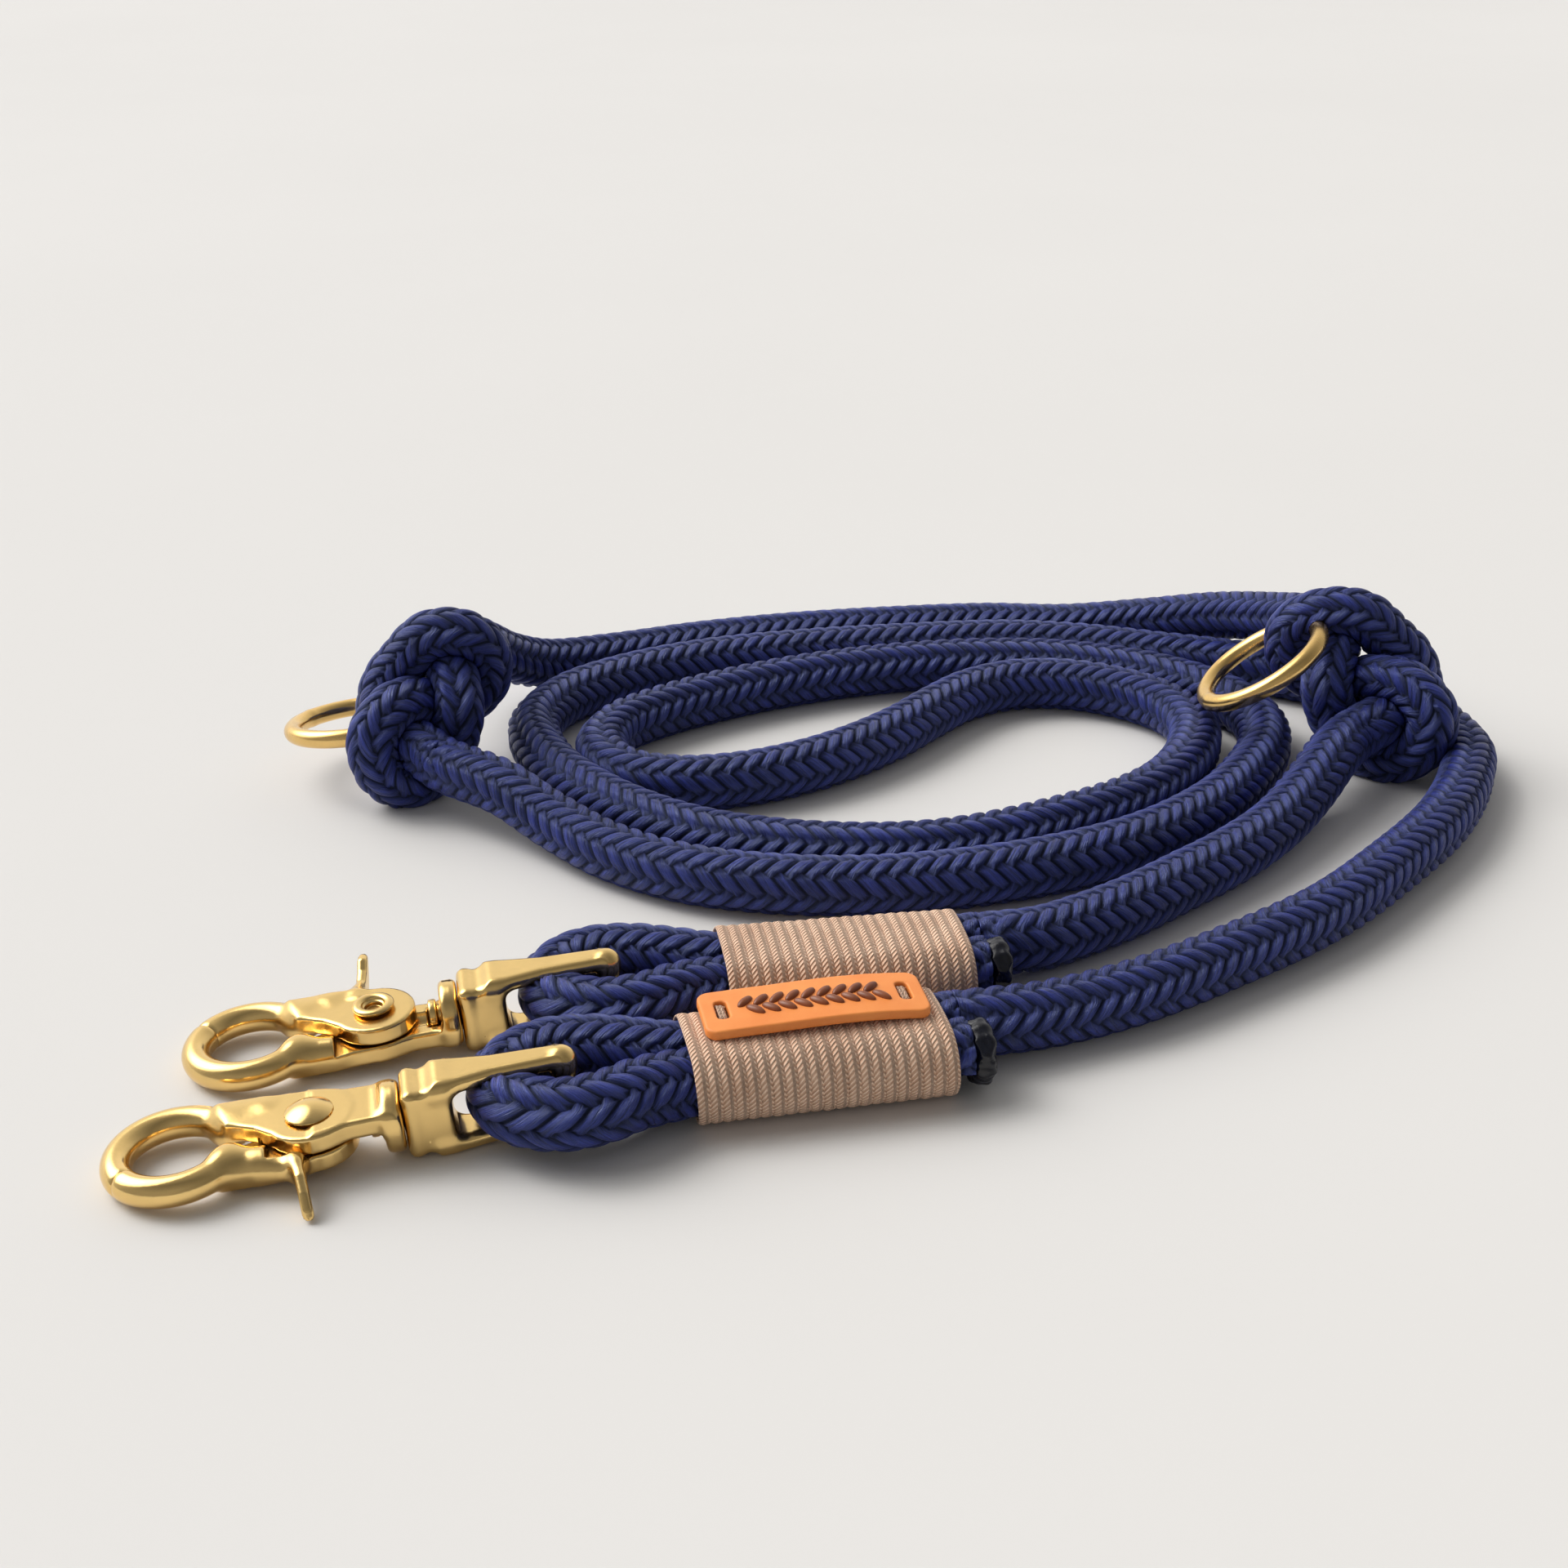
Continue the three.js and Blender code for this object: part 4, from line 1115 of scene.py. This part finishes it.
# %% Label
label_length, label_width, label_thickness = 39, 13, 1.8
label_offset = 3
slot_length, slot_width, slot_inset = 5.6, 2.2, 3.6
label_under = 6 + 0.35 + 0.8 + 0.35
slot_at = label_length / 2 - slot_inset


def label_sag(p):
    """How far the soft label hangs below flat, and the slow wave along it."""
    sag = 0.0045 * np.maximum(0, np.abs(p[:, 0]) - 9) ** 2
    sag = sag + 0.006 * np.maximum(0, np.abs(p[:, 1]) - 1) ** 2
    return sag - 0.2 * (1 + np.sin(0.19 * p[:, 0] + 0.8))


def label_field(p):
    sag = label_sag(p)
    q = p + np.stack([0 * sag, 0 * sag, sag], 1)
    half = label_thickness / 2
    flat = block(q * [1, 1, 0], (-label_length / 2, -label_width / 2, -9),
                 (label_length / 2, label_width / 2, 9), 2.2)
    edge = 0.4
    both = np.stack([flat, np.abs(q[:, 2] - half) - half], 1) + edge
    field = np.linalg.norm(np.maximum(both, 0), axis=1) + np.minimum(both.max(1), 0) - edge
    for side in (-1, 1):
        slot = block(q, (side * slot_at - slot_width / 2, -slot_length / 2, -5),
                     (side * slot_at + slot_width / 2, slot_length / 2, 5), 0.95)
        field = cut(field, slot, 0.35)
    return field


label_place = whipping_place("front", whipping_length / 2, label_offset, label_under)
fit(cast("moulded_label", label_field, (-20.5, -7.5, -1.5), (20.5, 7.5, 2.5), label_place,
         label_rubber, cell=0.25), "rope", "label")
for side in (-1, 1):
    over = np.eye(4)
    over[:3, 3] = (side * slot_at * mm - 0.62 * mm, 0, 0.85 * mm)
    wound("slot_stitch_left" if side < 0 else "slot_stitch_right", label_place @ over, "rope",
          "twine", "label_stitch_left" if side < 0 else "label_stitch_right",
          whipping_twine, turns=2.0, samples=80, length=1.25 * mm, radius=0.34 * mm,
          spread=1.75 * mm, wire=0.66 * mm, flatness=0.8, unevenness=0.05 * mm)

# %% Raised pattern
leaves, given, result = geometry_tree("leaf_rows", [
    ("Pairs", "NodeSocketInt"), ("Spacing", "NodeSocketFloat"), ("Lean", "NodeSocketFloat"),
    ("Leaf", "NodeSocketVector"), ("Row", "NodeSocketFloat"),
    ("Material", "NodeSocketMaterial")])
row_step = node(leaves, "ShaderNodeCombineXYZ", {0: given["Spacing"]}).outputs[0]
leaf = node(leaves, "GeometryNodeMeshUVSphere", {"Segments": 20, "Rings": 12, "Radius": 0.5})
rows = node(leaves, "GeometryNodeJoinGeometry")
for side in (-1, 1):
    start = node(leaves, "ShaderNodeCombineXYZ", {
        0: math_node(leaves, "MULTIPLY", math_node(
            leaves, "SUBTRACT", given["Pairs"], 1.0 - 0.5 * side), math_node(
            leaves, "MULTIPLY", given["Spacing"], -0.5)),
        1: math_node(leaves, "MULTIPLY", given["Row"], float(side))}).outputs[0]
    spots = node(leaves, "GeometryNodeMeshLine", {
        "Count": given["Pairs"], "Start Location": start, "Offset": row_step}, mode="OFFSET")
    tilt = node(leaves, "ShaderNodeCombineXYZ", {
        2: math_node(leaves, "MULTIPLY", given["Lean"], float(side))}).outputs[0]
    row = node(leaves, "GeometryNodeInstanceOnPoints", {
        "Points": spots.outputs[0], "Instance": leaf.outputs[0], "Rotation": tilt,
        "Scale": given["Leaf"]})
    leaves.links.new(row.outputs[0], rows.inputs[0])
smooth = node(leaves, "GeometryNodeSetShadeSmooth", {"Geometry": rows.outputs[0]})
real = node(leaves, "GeometryNodeRealizeInstances", {"Geometry": smooth.outputs[0]})
finished = node(leaves, "GeometryNodeSetMaterial", {
    "Geometry": real.outputs[0], "Material": given["Material"]})
leaves.links.new(finished.outputs[0], result.inputs[0])
on_top = np.eye(4)
on_top[2, 3] = label_thickness * mm
pattern = bake("label_pattern", leaves, {
    "Pairs": 9, "Spacing": 2.75 * mm, "Lean": 0.8,
    "Leaf": (3.9 * mm, 1.65 * mm, 1.5 * mm), "Row": 1.4 * mm, "Material": motif_rubber},
    label_place @ on_top)
spots = np.empty(len(pattern.data.vertices) * 3, np.float32)
pattern.data.vertices.foreach_get("co", spots)
own = (spots.reshape(-1, 3) - label_place[:3, 3]) @ label_place[:3, :3] / mm
own[:, 2] -= label_sag(own)
pattern.data.vertices.foreach_set("co", placed(own, label_place).astype(np.float32).ravel())
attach(pattern, "rope")

# %% Melted ends
def melted_field(p):
    lump = 0.16 * np.sin(1.9 * p[:, 0] + 1.3 * p[:, 2]) + 0.12 * np.sin(2.7 * p[:, 1] + 1)
    lump = lump + 0.1 * np.sin(3.1 * p[:, 2] - 1.7 * p[:, 1])
    rod = disc(p, (0, 0, 0), 0, 5.75, pair_end + 0.1, pair_end + 4.0, 1.5) + lump * 0.8
    chord = 2 * pair_side - 6 - 0.35
    return cut(rod, chord - p[:, 1] - 0 * lump, 0.6) if chord < 0 else np.maximum(
        rod, p[:, 1] - chord)


for end in ends:
    fit(cast(f"melted_bead_{end}", melted_field, (48, -7, -7), (54.5, 5, 7),
             whipping_place(end, 0, -pair_side), melted_black, cell=0.25), "rope",
        f"melted_end_{end}")

# %% [markdown]
# ## The surface and the light
#
# The lead lies on a warm off-white sheet under soft daylight from one large window, high on
# the left and a little behind. Polished brass shows mostly what is around it, so the room has
# a bright window side and a darker far side.

# %% Surface
sheet_material, tree, shader = new_material("pale_sheet", Roughness=0.85,
                                            Specular_IOR_Level=0.2)
marks, grain = worn(tree, 2.0, 9.0)
pale = colour_mix(tree, spread(tree, marks, 0.3, 0.7), (0.745, 0.735, 0.722, 1),
                  (0.765, 0.755, 0.742, 1))
tree.links.new(pale, shader.inputs["Base Color"])
half = 30.0
surface = new_object("surface", mesh_from(
    "surface", [(-half, -half, 0), (half, -half, 0), (half, half, 0), (-half, half, 0)],
    [(0, 1, 2, 3)]))
surface.data.materials.append(sheet_material)

# %% The room as a light
world = bpy.data.worlds.new("room")
world.use_nodes = True
tree = world.node_tree
direction = node(tree, "ShaderNodeTexCoord").outputs["Generated"]
axis = node(tree, "ShaderNodeSeparateXYZ", {0: direction}).outputs
window_way = Vector((-0.66, 0.30, 0.69)).normalized()
facing = node(tree, "ShaderNodeVectorMath", {0: direction, 1: tuple(window_way)},
              operation="DOT_PRODUCT").outputs["Value"]
window = math_node(tree, "MULTIPLY", spread(tree, facing, 0.84, 0.93), 3.0)
backdrop = spread(tree, axis[1], -0.35, 0.6, 0.34, 1.0)
ceiling = spread(tree, axis[2], 0.45, 0.95, 1.0, 0.5)
far_side = spread(tree, axis[0], 0.1, 0.9, 1.0, 0.55)
room = math_node(tree, "MULTIPLY", backdrop, math_node(tree, "MULTIPLY", ceiling, far_side))
background = tree.nodes["Background"]
tree.links.new(math_node(tree, "ADD", room, window), background.inputs["Strength"])
background.inputs["Color"].default_value = (1.0, 0.985, 0.965, 1.0)
bpy.context.scene.world = world

lamp = bpy.data.lights.new("window_glow", "SUN")
lamp.energy = 1.0
lamp.angle = 24 * degree
lamp.color = (1.0, 0.98, 0.95)
glow = bpy.data.objects.new("window_glow", lamp)
glow.rotation_euler = (-window_way).to_track_quat("-Z", "Y").to_euler()
bpy.context.scene.collection.objects.link(glow)
bpy.context.scene.view_settings.view_transform = "Standard"
